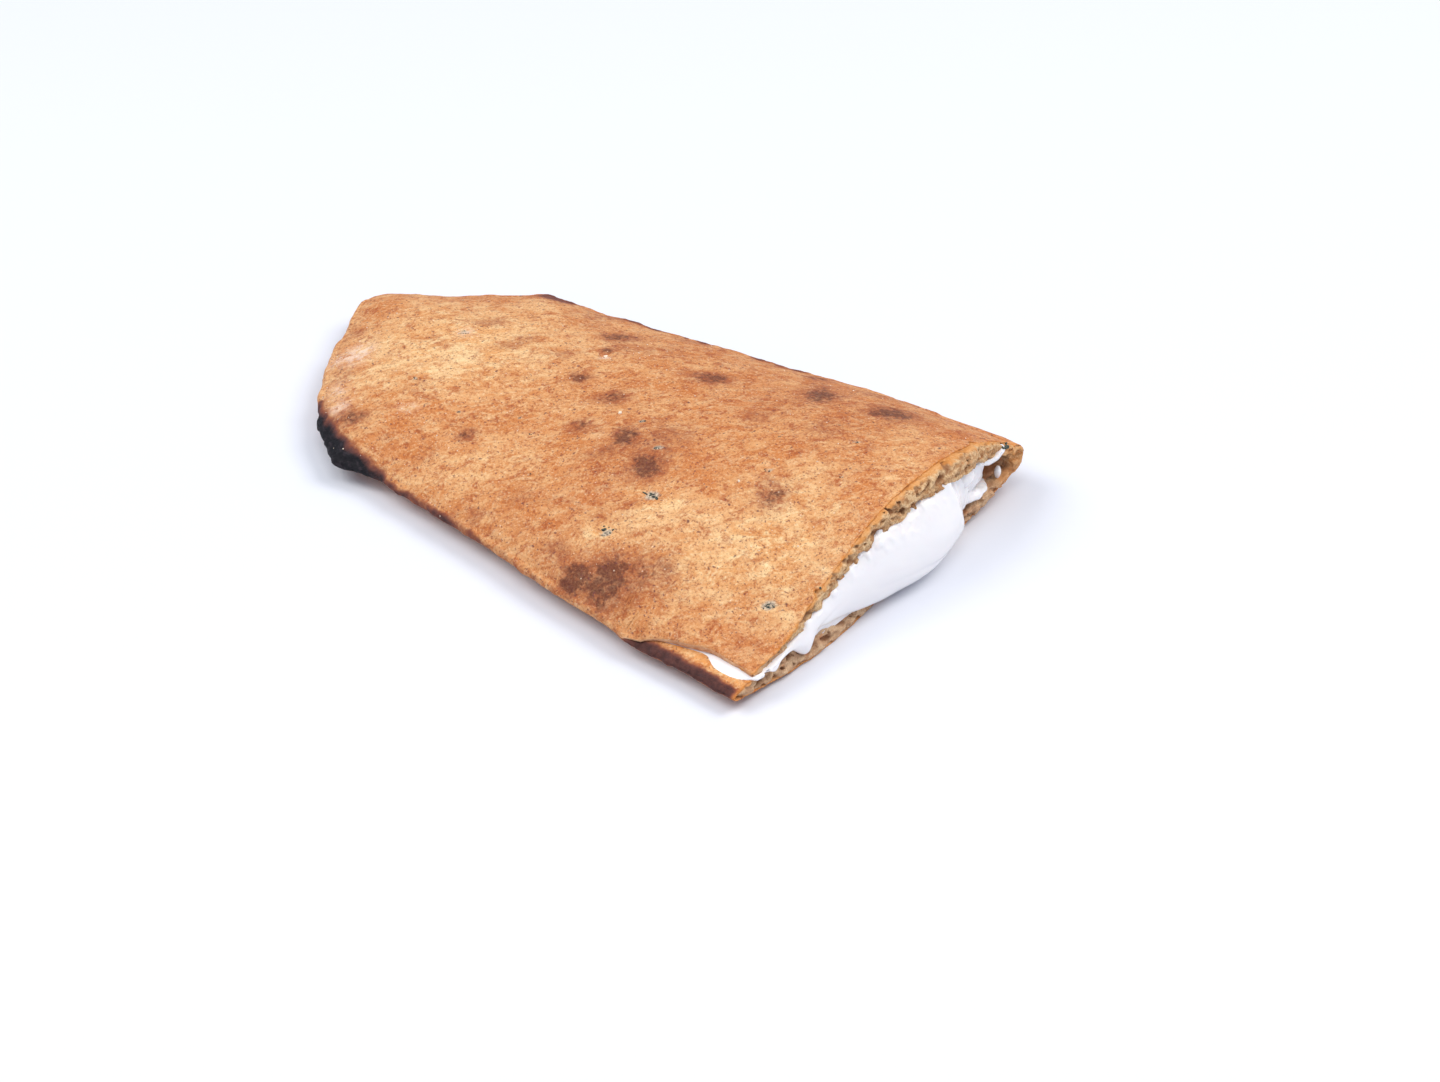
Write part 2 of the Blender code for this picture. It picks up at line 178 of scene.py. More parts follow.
def noise(x, y, z, size, seed=0):
    """Smooth noise between about -1 and 1 with features of that size in millimetres."""
    x, y, z = np.broadcast_arrays(np.asarray(x, float) / size, np.asarray(y, float) / size, np.asarray(z, float) / size)
    cells, inside, fade = [], [], []
    for c in (x, y, z):
        f = np.floor(c)
        t = c - f
        cells.append(f.astype(np.int64).astype(np.uint64))
        inside.append(t)
        fade.append(t * t * t * (t * (t * 6 - 15) + 10))
    total = np.zeros(x.shape)
    for dx in (0, 1):
        for dy in (0, 1):
            for dz in (0, 1):
                h = scramble(cells[0] + np.uint64(dx), cells[1] + np.uint64(dy), cells[2] + np.uint64(dz), seed)
                gx = (h & np.uint64(1023)).astype(float) / 511.5 - 1
                gy = ((h >> np.uint64(10)) & np.uint64(1023)).astype(float) / 511.5 - 1
                gz = ((h >> np.uint64(20)) & np.uint64(1023)).astype(float) / 511.5 - 1
                w = (fade[0] if dx else 1 - fade[0]) * (fade[1] if dy else 1 - fade[1]) * (fade[2] if dz else 1 - fade[2])
                total += w * (gx * (inside[0] - dx) + gy * (inside[1] - dy) + gz * (inside[2] - dz))
    return total * 1.25


def rough(x, y, z, size, seed=0, octaves=3, fall=0.5):
    total, weight = 0.0, 1.0
    for o in range(octaves):
        total = total + weight * noise(x, y, z, size / 2**o, seed + 17 * o)
        weight *= fall
    return total


def curve(points, x):
    """Smooth curve through a list of (x, value)."""
    px = np.array([p[0] for p in points], float)
    py = np.array([p[1] for p in points], float)
    slope = np.gradient(py, px)
    x = np.clip(np.asarray(x, float), px[0], px[-1])
    i = np.clip(np.searchsorted(px, x) - 1, 0, len(px) - 2)
    h = px[i + 1] - px[i]
    t = (x - px[i]) / h
    return (
        (2 * t**3 - 3 * t**2 + 1) * py[i] + (t**3 - 2 * t**2 + t) * h * slope[i]
        + (-2 * t**3 + 3 * t**2) * py[i + 1] + (t**3 - t**2) * h * slope[i + 1]
    )


def ellipse(x, y, spot):
    """How far inside an elongated spot a place is: 1 in its middle. Its first size runs along the
    rolling direction of the dough, its second across."""
    cx, cy, along, across = spot[:4]
    u = ((x - cx) * 0.778 + (y - cy) * 0.628) / along
    v = (-(x - cx) * 0.628 + (y - cy) * 0.778) / across
    return np.exp(-(u * u + v * v))


# ---- meshes -------------------------------------------------------------------------------
def piece(name, points, faces, node, finish, values=None, normals=None, flat=False):
    """A shown piece from points in the working frame (mm) and an array of triangles or quads."""
    mesh = bpy.data.meshes.new(name)
    faces = np.asarray(faces)
    places = (np.asarray(points, float) + SHIFT) * 0.001
    mesh.vertices.add(len(places))
    mesh.vertices.foreach_set("co", places.astype(np.float32).ravel())
    if faces.shape[1] == 4:
        closed = faces[:, 2] == faces[:, 3]
        sizes = np.where(closed, 3, 4)
        flat_faces = faces[np.arange(4)[None, :] < sizes[:, None]]
    else:
        sizes = np.full(len(faces), 3)
        flat_faces = faces.ravel()
    mesh.loops.add(len(flat_faces))
    mesh.loops.foreach_set("vertex_index", flat_faces.astype(np.int32))
    mesh.polygons.add(len(faces))
    mesh.polygons.foreach_set("loop_start", np.concatenate([[0], np.cumsum(sizes)[:-1]]).astype(np.int32))
    mesh.polygons.foreach_set("use_smooth", np.full(len(faces), not flat))
    mesh.update(calc_edges=True)
    mesh.validate()
    for key, value in (values or {}).items():
        made = mesh.attributes.new(key, "FLOAT", "POINT")
        made.data.foreach_set("value", np.asarray(value, np.float32))
    if normals is not None:
        mesh.normals_split_custom_set_from_vertices(normals.tolist())
    obj = bpy.data.objects.new(name, mesh)
    bpy.context.scene.collection.objects.link(obj)
    mesh.materials.append(finish)
    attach(obj, "root")
    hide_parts(node)
    return obj


def weld(points, faces, digits=4):
    """Joins points at the same place. Faces that lose a corner become triangles or go."""
    keys = np.round(points, digits) + 0.0
    _, first, where = np.unique(keys, axis=0, return_index=True, return_inverse=True)
    faces = where.reshape(-1)[faces]
    kept = []
    for f in (faces,):
        a, b, c, d = f.T
        same = np.stack([a == b, b == c, c == d, d == a], 1)
        count = same.sum(1)
        kept.append(f[(count == 0) & (a != c) & (b != d)])
        one = f[(count == 1)]
        s = same[count == 1]
        out = []
        for k, corners in enumerate(((1, 2, 3, 3), (0, 2, 3, 3), (0, 1, 3, 3), (0, 1, 2, 2))):
            rows = one[s[:, k]][:, corners]
            out.append(rows)
        kept += out
    return points[first], np.concatenate(kept), first


def vertex_normals(points, faces):
    normals = np.zeros_like(points)
    across = np.cross(points[faces[:, 2]] - points[faces[:, 0]], points[faces[:, 3]] - points[faces[:, 1]])
    tri = faces[:, 2] == faces[:, 3]
    across[tri] = np.cross(points[faces[tri, 1]] - points[faces[tri, 0]], points[faces[tri, 2]] - points[faces[tri, 0]])
    for k in range(4):
        np.add.at(normals, faces[:, k], across)
    return normals / np.maximum(np.linalg.norm(normals, axis=1), 1e-12)[:, None]


def grid_faces(index, flip=False):
    """Quads of a two-dimensional array of point numbers."""
    a, b, c, d = index[:-1, :-1], index[:-1, 1:], index[1:, 1:], index[1:, :-1]
    quads = np.stack([a, b, c, d], -1).reshape(-1, 4)
    return quads[:, ::-1] if flip else quads


def skin(field, xs, ys, zs):
    """Closed surface where the field on a grid is zero, negative inside."""
    inside = field < 0
    n = sum(inside[i : i + field.shape[0] - 1, j : j + field.shape[1] - 1, k : k + field.shape[2] - 1].astype(np.int8) for i in (0, 1) for j in (0, 1) for k in (0, 1))
    cells = np.argwhere((n > 0) & (n < 8))
    number = np.full(n.shape, -1, np.int64)
    number[tuple(cells.T)] = np.arange(len(cells))
    place, count = np.zeros((len(cells), 3)), np.zeros(len(cells))
    for axis in range(3):
        others = [a for a in range(3) if a != axis]
        for p in (0, 1):
            for q in (0, 1):
                o = np.zeros(3, int)
                o[others[0]], o[others[1]] = p, q
                e = o.copy()
                e[axis] = 1
                f0 = field[tuple((cells + o).T)]
                f1 = field[tuple((cells + e).T)]
                cross = (f0 < 0) != (f1 < 0)
                t = np.where(cross, f0 / np.where(cross, f0 - f1, 1.0), 0.0)
                spot = np.tile(o.astype(float), (len(cells), 1))
                spot[:, axis] += t
                place[cross] += spot[cross]
                count[cross] += 1
    place /= count[:, None]
    points = np.empty_like(place)
    for axis, line in enumerate((xs, ys, zs)):
        i = cells[:, axis]
        points[:, axis] = line[i] + place[:, axis] * (line[i + 1] - line[i])
    faces = []
    for axis in range(3):
        a, b = [(1, 2), (2, 0), (0, 1)][axis]
        size = list(field.shape)
        lo = [slice(1, -1)] * 3
        lo[axis] = slice(0, size[axis] - 1)
        hi = list(lo)
        hi[axis] = slice(1, size[axis])
        s0, s1 = inside[tuple(lo)], inside[tuple(hi)]
        at = np.argwhere(s0 != s1)
        start = np.array([1, 1, 1])
        start[axis] = 0
        down = s0[tuple(at.T)]
        at = at + start
        corners = []
        for p, q in ((1, 1), (0, 1), (0, 0), (1, 0)):
            cell = at.copy()
            cell[:, a] -= p
            cell[:, b] -= q
            corners.append(number[tuple(cell.T)])
        quads = np.stack(corners, 1)
        quads[~down] = quads[~down][:, ::-1]
        faces.append(quads)
    return points, np.concatenate(faces)


# ---- placed marks -------------------------------------------------------------------------
# x, y, half size along the rolling direction, half size across it, strength
BROWN = [
    (-54.8, -52.4, 2.4, 2.8, 1.15), (-54.6, -52.5, 4.6, 4.6, 0.24), (-46.4, -50.4, 2.6, 2.8, 1.05), (-44.6, -51.0, 5.4, 5.4, 0.34),
    (-38.6, -51.0, 5.0, 4.0, 0.34), (-47.5, -46.5, 2.6, 2.6, 0.30), (-41.0, -43.4, 6.4, 4.0, 0.34), (-35.6, -42.0, 3.0, 2.4, 0.28),
    (-63.4, -48.6, 3.0, 3.2, 0.52), (-50.0, -47.5, 6.5, 3.6, 0.22), (-73.4, -11.1, 2.7, 3.3, 0.95), (-102.0, 4.5, 3.0, 2.7, 0.85),
    (-59.9, -18.7, 2.7, 3.6, 0.90), (-60.5, -16.5, 4.6, 5.0, 0.30), (-57.6, 47.2, 3.4, 2.4, 0.80), (-45.6, 33.1, 3.6, 3.6, 0.95),
    (-50.0, 39.0, 3.6, 5.2, 0.40), (-109.2, 27.9, 4.4, 2.8, 0.85), (-113.0, 10.7, 4.4, 2.6, 0.42), (-88.7, 1.7, 4.0, 2.9, 0.85),
    (-86.7, -12.9, 3.4, 2.6, 0.78), (-110.5, -29.5, 2.5, 2.4, 0.80), (-73.7, 24.7, 4.4, 3.2, 0.78), (-79.0, 24.0, 4.6, 2.6, 0.40),
    (-26.8, 35.6, 4.4, 3.6, 0.70), (-24.0, 38.0, 6.4, 5.0, 0.36), (-27.3, -11.0, 3.0, 4.0, 0.55), (-26.8, -12.3, 5.0, 6.4, 0.26),
    (-141.0, -38.7, 3.8, 2.2, 0.80), (-145.6, -37.6, 2.8, 2.0, 0.50), (-170.6, -7.3, 2.4, 1.6, 0.45), (-141.0, 12.4, 6.0, 2.3, 0.42),
    (-126.5, 11.6, 4.4, 2.8, 0.40), (-128.8, 5.2, 3.8, 2.4, 0.36), (-50.1, 13.4, 3.8, 3.4, 0.32), (-32.6, 17.1, 4.4, 4.2, 0.28),
    (-90.9, -48.0, 2.4, 2.0, 0.42), (-82.7, -40.0, 4.4, 3.0, 0.34), (-32.3, -43.8, 4.8, 4.6, 0.26), (-74.4, -19.5, 4.4, 3.0, 0.38),
    (-157.8, -25.6, 3.4, 3.6, 0.32), (-115.3, -40.4, 3.0, 2.4, 0.35), (-63.6, -4.5, 5.0, 4.6, 0.28), (-66.0, -10.0, 10.0, 12.0, 0.22),
    (-48.0, 26.0, 20.0, 11.0, 0.22), (-20.0, 24.0, 16.0, 9.0, 0.16), (-135.0, -22.0, 4.0, 3.0, 0.25), (-104.0, 22.0, 4.6, 2.6, 0.35),
    (-6.0, -45.0, 5.0, 5.0, 0.22), (-96.0, 30.0, 5.0, 3.0, 0.32), (-120.0, 30.0, 5.0, 3.0, 0.25), (-60.0, -36.0, 5.0, 3.4, 0.22),
    (-122.0, 38.5, 7.0, 3.0, 0.45), (-96.0, 44.0, 5.0, 2.4, 0.40), (-70.0, 49.0, 6.0, 2.6, 0.42), (-38.0, 48.0, 6.0, 3.0, 0.32),
]
# Larger pieces of herb: x, y, half length, half width, half height, direction
HERB_PIECES = [
    (-54.0, -26.4, 0.62, 0.26, 0.10, 0.1), (-51.5, -26.3, 0.42, 0.36, 0.16, 0.5), (-50.2, -26.5, 0.62, 0.38, 0.18, 0.1), (-52.6, -25.9, 0.26, 0.2, 0.10, 0.0),
    (-50.8, -26.0, 0.3, 0.24, 0.12, 0.8), (-55.6, -39.9, 0.56, 0.40, 0.16, 0.6), (-53.5, -38.8, 0.34, 0.28, 0.12, 0.2), (-56.3, -39.1, 0.24, 0.2, 0.08, 0.9),
    (-55.0, -38.7, 0.36, 0.14, 0.08, 0.3), (-9.4, -35.5, 0.18, 0.14, 0.05, 0.3), (-8.2, -35.5, 0.14, 0.12, 0.05, 0.9),
    (-62.7, -11.3, 0.30, 0.16, 0.08, 0.3), (-61.9, -11.6, 0.34, 0.2, 0.1, 0.5), (-74.6, -3.8, 0.34, 0.14, 0.08, 0.5), (-73.6, -3.4, 0.24, 0.14, 0.08, 0.7),
]
# Herb flecks baked into the dough: x, y, half length along the rolling direction, half width, how bare they lie
HERBS = [
    (-51.9, -26.3, 1.9, 1.5, 1.0), (-54.4, -40.2, 1.6, 1.0, 0.9), (-8.8, -35.4, 2.0, 1.3, 0.8), (-33.1, -4.6, 1.6, 0.8, 0.5),
    (-62.4, -11.5, 1.4, 0.9, 0.7), (-74.2, -3.6, 1.3, 0.7, 0.6), (-22.5, 16.8, 1.4, 0.7, 0.4), (-142.2, 4.0, 1.5, 1.8, 0.35),
    (-137.5, -19.8, 0.9, 1.0, 0.5), (-103.0, -17.5, 0.9, 0.8, 0.5), (-118.0, -24.0, 0.8, 0.6, 0.5), (-86.0, -33.0, 0.8, 0.5, 0.5),
    (-96.0, -21.0, 0.7, 0.6, 0.4), (-16.0, 2.0, 0.8, 0.5, 0.4), (-40.0, 8.0, 0.7, 0.5, 0.3),
]
FLOUR = [(-103.4, 15.6, 1.3, 0.7, 1.0), (-161.8, -16.7, 3.6, 4.2, 1.0), (-166.0, -20.0, 3.0, 3.0, 0.5), (-149.3, -36.3, 2.8, 2.4, 0.7), (-155.0, -31.0, 2.6, 3.6, 0.5), (-142.2, 4.0, 1.8, 2.0, 0.6), (-130.0, -30.0, 3.0, 2.0, 0.3)]
# Paler places on the crust: x, y, half size along the rolling direction, half size across, strength. The patches near
# the cut at the front, at x -24, y -32 and x -20, y -12, are painted light: they make the front slope brighter as if it
# were lit more. The others are paler crust.
PALE_AND_LIT = [(-47.5, -27.0, 6.0, 2.0, 0.9), (-56.0, -26.0, 4.0, 1.6, 0.7), (-56.5, -41.0, 4.6, 2.6, 0.8), (-140.0, -2.0, 34.0, 26.0, 0.9), (-24.0, -32.0, 22.0, 12.0, 0.75), (-20.0, -12.0, 16.0, 14.0, 0.55), (-50.0, -34.0, 14.0, 6.0, 0.35), (-100.0, -36.0, 26.0, 9.0, 0.4), (-4.0, 12.0, 6.0, 34.0, 0.35), (-6.0, -30.0, 8.0, 14.0, 0.4)]
CRATER = (-104.7, 17.1, 1.5, 1.6, 1.0)


# ---- crust --------------------------------------------------------------------------------
def stations():
    near = -0.5 * np.arange(25)
    far = np.linspace(-12.0, -SIDE, 130)[1:]
    return np.concatenate([near, far])


SX = stations()
FAN = 200
TOP_ROWS, BREAK_ROWS, SHELF_ROWS, RIM_ROWS, FOOT_ROWS = 80, 8, 14, 7, 42


def cut_back(y, z):
    """How far the crust's edge stands back from the plane of the cut."""
    upper = smooth(9.0, 14.0, z)
    top = curve([(-60, 0.15), (-40, 0.2), (-20, 0.45), (0, 0.7), (15, 1.0), (28, 1.5), (36, 1.7), (44, 1.2), (50, 0.6), (60, 0.3)], y)
    low = curve([(-60, 0.2), (-50, 0.0), (-42, -0.7), (-34, -1.2), (-18, -1.2), (-8, -0.4), (4, 0.2), (30, 0.5), (40, 0.8), (50, 0.6), (60, 0.3)], y)
    fold = 1.6 * bump(y, 36.8, 1.1) * upper + 1.9 * bump(y, -27.4, 0.75) * upper
    return lerp(low, top, upper) + fold


def section_rows(r):
    """Rows of points over the crust, from the crown over the rim to the middle of the underside,
    for every ray: places (rays, rows, 3) and how bare of crust each is."""
    inset = r.edge / 2 / r.span
    n = r.x.shape[0]
    torn = smooth(-TEAR_LENGTH, -TEAR_LENGTH + 4.0, r.x) * (r.psi <= -90)
    edge_y = torn_y(np.minimum(r.x, 0.0))
    share_t = (edge_y - r.sy) / (r.ry - r.sy)
    over = np.clip((share_t - (1 - inset)) / inset, 0, 1)
    q_torn = np.where(share_t <= 1 - inset, share_t / (1 - inset), 1 + np.arcsin(over) / np.pi)
    q_torn = np.where(r.psi <= -90, q_torn, 1.0)

    def outer(q):
        a = np.pi * np.clip(q - 1, 0, 1)
        share = np.clip(q, 0, 1)
        x, y = r.plan(np.where(q <= 1, share * (1 - inset), 1 - inset + inset * np.sin(a)))
        z = np.where(q <= 1, r.top(share), r.rim_z + r.edge / 2 * np.cos(a))
        return np.stack(np.broadcast_arrays(x, y, z), -1)

    q_end = lerp(1.0, q_torn, torn)
    a_rows = outer(q_end * (np.arange(TOP_ROWS)[None, :] / (TOP_ROWS - 1)) ** 0.97)
    brk = np.arange(1, BREAK_ROWS + 1)[None, :] / BREAK_ROWS
    shf = np.arange(1, SHELF_ROWS + 1)[None, :] / SHELF_ROWS
    rim = np.arange(1, RIM_ROWS + 1)[None, :] / RIM_ROWS
    # an untorn rim: one smooth turn over all three groups of rows
    many = BREAK_ROWS + SHELF_ROWS + RIM_ROWS
    plain = outer(q_end + (2 - q_end) * np.arange(1, many + 1)[None, :] / many)
    # the torn rim: the top layer ends thin, with a narrow slot under it, and the bottom layer's bare
    # rim lies outside it, falling away and rolling over
    tip = a_rows[:, -1:, :]
    open_up = smooth(-TEAR_LENGTH, -TEAR_LENGTH + 10, r.x)
    shelf_z = np.minimum(lerp(tip[..., 2] - 0.2, LEDGE, open_up), tip[..., 2] - lerp(0.2, 0.95, open_up))
    rise = tip[..., 2] - shelf_z
    thick = 0.66 * rise
    deep = 1.6 * open_up
    t = np.minimum(brk * 2, 1.0)
    u = np.maximum(brk * 2 - 1, 0.0)
    by = tip[..., 1] - 0.12 * np.sin(np.pi * t) + 0.1 * t * (1 - u) + deep * u
    bz = tip[..., 2] - thick * t - (rise - thick) * 0.5 * u
    b_torn = np.stack(np.broadcast_arrays(r.x, by, bz), -1)
    low = r.rim_z - r.edge / 2
    outer_z = r.rim_z - 0.15
    c = np.clip((shf - 0.14) / 0.86, 0, 1)
    cy = np.where(shf < 0.14, lerp(b_torn[:, -1:, 1], tip[..., 1], shf / 0.14), lerp(tip[..., 1], r.ry, c**0.92))
    fall = np.clip((tip[..., 1] - cy) / np.maximum(tip[..., 1] - r.ry, 0.05), 0, 1)
    cz = outer_z + (shelf_z - outer_z) * (1 - fall**1.7)
    c_torn = np.stack(np.broadcast_arrays(r.x, cy, cz), -1)
    d = np.pi / 2 * rim
    dy = lerp(r.ry + r.edge / 2, r.ry, np.cos(d))
    dz = lerp(low, outer_z, 1 - np.sin(d))
    d_torn = np.stack(np.broadcast_arrays(r.x, dy, dz), -1)
    w = torn[..., None]
    turn = lerp(plain, np.concatenate([b_torn, c_torn, d_torn], 1), w)
    share = (np.arange(FOOT_ROWS)[::-1][None, :] / FOOT_ROWS) ** 0.95
    x, y = r.plan(share * (1 - inset))
    foot = np.stack(np.broadcast_arrays(x, y, r.bottom(share)), -1)
    bare = np.zeros((n, TOP_ROWS + many + FOOT_ROWS))
    bare[:, TOP_ROWS : TOP_ROWS + BREAK_ROWS - 1] = torn
    shelf = np.zeros_like(bare)
    shelf[:, TOP_ROWS + BREAK_ROWS : TOP_ROWS + many + 1] = torn
    return np.concatenate([a_rows, turn, foot], 1), bare, shelf


def all_rays():
    x = np.concatenate([SX, np.full(FAN - 1, -SIDE), SX[::-1]])
    psi = np.concatenate([np.full(len(SX), -90.0), np.linspace(-90, 90, FAN + 1)[1:-1], np.full(len(SX), 90.0)])
    return Rays(x[:, None], psi[:, None])


def hollow_rows(r, rows):
    """The pocket's wall for each ray, with as many points as the crust has rows."""
    # under the torn edge the pocket stops short of the tear
    torn = smooth(-TEAR_LENGTH, -TEAR_LENGTH + 4.0, r.x) * (r.psi <= -90)
    short = (torn_y(np.minimum(r.x, 0.0)) + 1.3 - r.sy) / (r.ry - r.sy)
    reach = np.minimum(r.reach(), lerp(1.0, short, torn))
    many = BREAK_ROWS + SHELF_ROWS + RIM_ROWS
    k = np.arange(TOP_ROWS)[None, :] / TOP_ROWS
    up_r = reach * k**0.9
    high, _ = r.inner(up_r)
    x, y = r.plan(up_r)
    a = np.stack(np.broadcast_arrays(x, y, high), -1)
    t = np.arange(many)[None, :] / (many - 1)
    high, low = r.inner(reach)
    x, y = r.plan(reach + 0.25 / r.span * np.sin(np.pi * t))
    b = np.stack(np.broadcast_arrays(x, y, lerp(high, low, t)), -1)
    k = np.arange(FOOT_ROWS)[::-1][None, :] / FOOT_ROWS
    down_r = reach * k**0.9
    _, low = r.inner(down_r)
    x, y = r.plan(down_r)
    c = np.stack(np.broadcast_arrays(x, y, low), -1)
    return np.concatenate([a, b, c], 1)


def crust_values(p, up, shelf):
    """Colour values at points of the crust: browned, burnt, floury, greyish pits, crust edge, bare."""
    x, y, z = p.T
    top = smooth(-0.1, 0.35, up)
    wander = 1.6 * noise(x, y, z, 5.0, 3), 1.6 * noise(x, y, z, 5.0, 4)
    bx, by = x + wander[0] * 0.7, y + wander[1] * 0.7
    brown = np.zeros(len(x))
    for s in BROWN:
        brown = brown + 1.45 * s[4] * ellipse(bx, by, (s[0], s[1], s[2] * 1.2, s[3] * 1.2)) * top
    brown = brown + 1.5 * ellipse(x, y, (-105.6, 19.0, 1.5, 1.0)) * top
    cloud = rough(x * 0.9 + y * 0.3, y * 0.9 - x * 0.3, z, 26.0, 40, 3)
    brown = brown + 0.16 * smooth(0.0, 0.7, cloud) * top
    # the underside and the sides are browned in patches
    under = 1 - top
    patch = rough(x, y, z, 16.0, 60, 3)
    spots = rough(x, y, z, 7.0, 70, 2)
    brown = brown + under * (0.55 * smooth(-0.1, 0.6, patch) + 0.45 * smooth(0.35, 0.7, spots))
    rim_gap = rim_distance(x, y)
    side = smooth(6.0, 1.0, rim_gap)
    back = smooth(10, 40, y)
    brown = brown + 0.35 * side * back * smooth(0.0, 0.5, rough(x, y, z, 9.0, 80, 2) + 0.25)
    brown = brown + 0.22 * smooth(9.0, 1.0, rim_gap) * top * (1 - back) * smooth(-0.4, 0.5, noise(x, y, z, 12.0, 90))
    # burnt places
    ragged = 1.5 * rough(x, y, z, 4.0, 100, 3)
    corner = curve([(-180, -3.0), (-163, -3.0), (-159.6, -1.6), (-156.5, 0.4), (-152, 2.0), (-148, 3.2), (-144, 3.7), (-138, 4.3), (-134, 3.6), (-131, 3.0), (-128.5, 2.1), (-126, 1.1), (-121, 0.2), (-112, -0.2), (-100, 0.0), (-90, -0.6), (-70, -1.4), (-54, -1.5), (-46, -1.4), (-40, -2.4), (-34, -3.0), (0, -3.0)], x)
    front = smooth(0, -15, y)
    char = front * smooth(2.6, -2.0, rim_gap + 0.75 * ragged - corner)
    bump_char = 0.54 * smooth(8.6, 3.6, rim_gap + 0.8 * ragged) * smooth(-150, -144, x) * smooth(-132, -138, x + 1.5 * ragged) * smooth(18, 30, y)
    char = np.maximum(char, bump_char)
    char = np.maximum(char, (0.24 + 0.40 * smooth(-0.35, 0.45, rough(x, y, z, 7.0, 95, 3))) * smooth(3.8, 0.6, rim_gap + 1.2 * ragged) * smooth(30, 40, y) * smooth(-126, -118, x) * smooth(-58, -70, x))
    outward = smooth(3.6, 1.5, rim_gap + 0.45 * ragged)
    char = np.where(shelf > 0.5, 0.69 * outward * smooth(-0.9, -0.2, up) * (1 - 0.8 * smooth(-2.0, 0.2, x + 0.3 * ragged)) * smooth(-38.5, -31.0, x), char)
    brown = np.where(shelf > 0.5, 0.45 * smooth(3.8, 2.2, rim_gap + 0.5 * ragged), brown)
    flour = sum(s[4] * ellipse(x + wander[0] * 0.4, y + wander[1] * 0.4, s) for s in FLOUR) * top
    pit = sum(min(1.0, s[4] + 0.25) * ellipse(x, y, (s[0], s[1], s[2] * 1.15, s[3] * 1.15)) for s in HERBS) * top
    near = smooth(-0.9 - 2.4 * smooth(42, 50, y), 0.1, x)
    near = np.maximum(near, 0.6 * (shelf > 0.5) * smooth(2.4, 3.6, rim_gap))
    # paler crust, with painted light on the front slope near the cut
    pale_and_lit = np.maximum(sum(q[4] * ellipse(x, y, q) for q in PALE_AND_LIT) * top, 0.7 * (shelf > 0.5) * smooth(2.6, 3.8, rim_gap))
    return {"pale_and_lit": np.clip(pale_and_lit, 0, 1), "brown": np.clip(brown, 0, 1.6), "char": np.clip(char, 0, 1), "flour": np.clip(flour, 0, 1), "pit": np.clip(pit, 0, 1), "lip": near}


RIM = None


def rim_distance(x, y):
    """Distance in plan from the rim, measured inwards."""
    global RIM
    if RIM is None:
        r = Rays(np.concatenate([SX[::3], np.full(FAN, -SIDE), SX[::-3]])[:, None], np.concatenate([np.full(len(SX[::3]), -90.0), np.linspace(-90, 90, FAN + 2)[1:-1], np.full(len(SX[::-3]), 90.0)])[:, None])
        RIM = np.concatenate([r.rx, r.ry], 1)
    out = np.empty(len(x))
    a, b = RIM[:-1], RIM[1:]
    d = b - a
    n2 = (d**2).sum(1)
    for start in range(0, len(x), 20000):
        p = np.stack([x[start : start + 20000], y[start : start + 20000]], 1)[:, None, :]
        t = np.clip(((p - a) * d).sum(2) / n2, 0, 1)
        out[start : start + 20000] = np.sqrt(((p - a - t[..., None] * d) ** 2).sum(2).min(1))
    return out


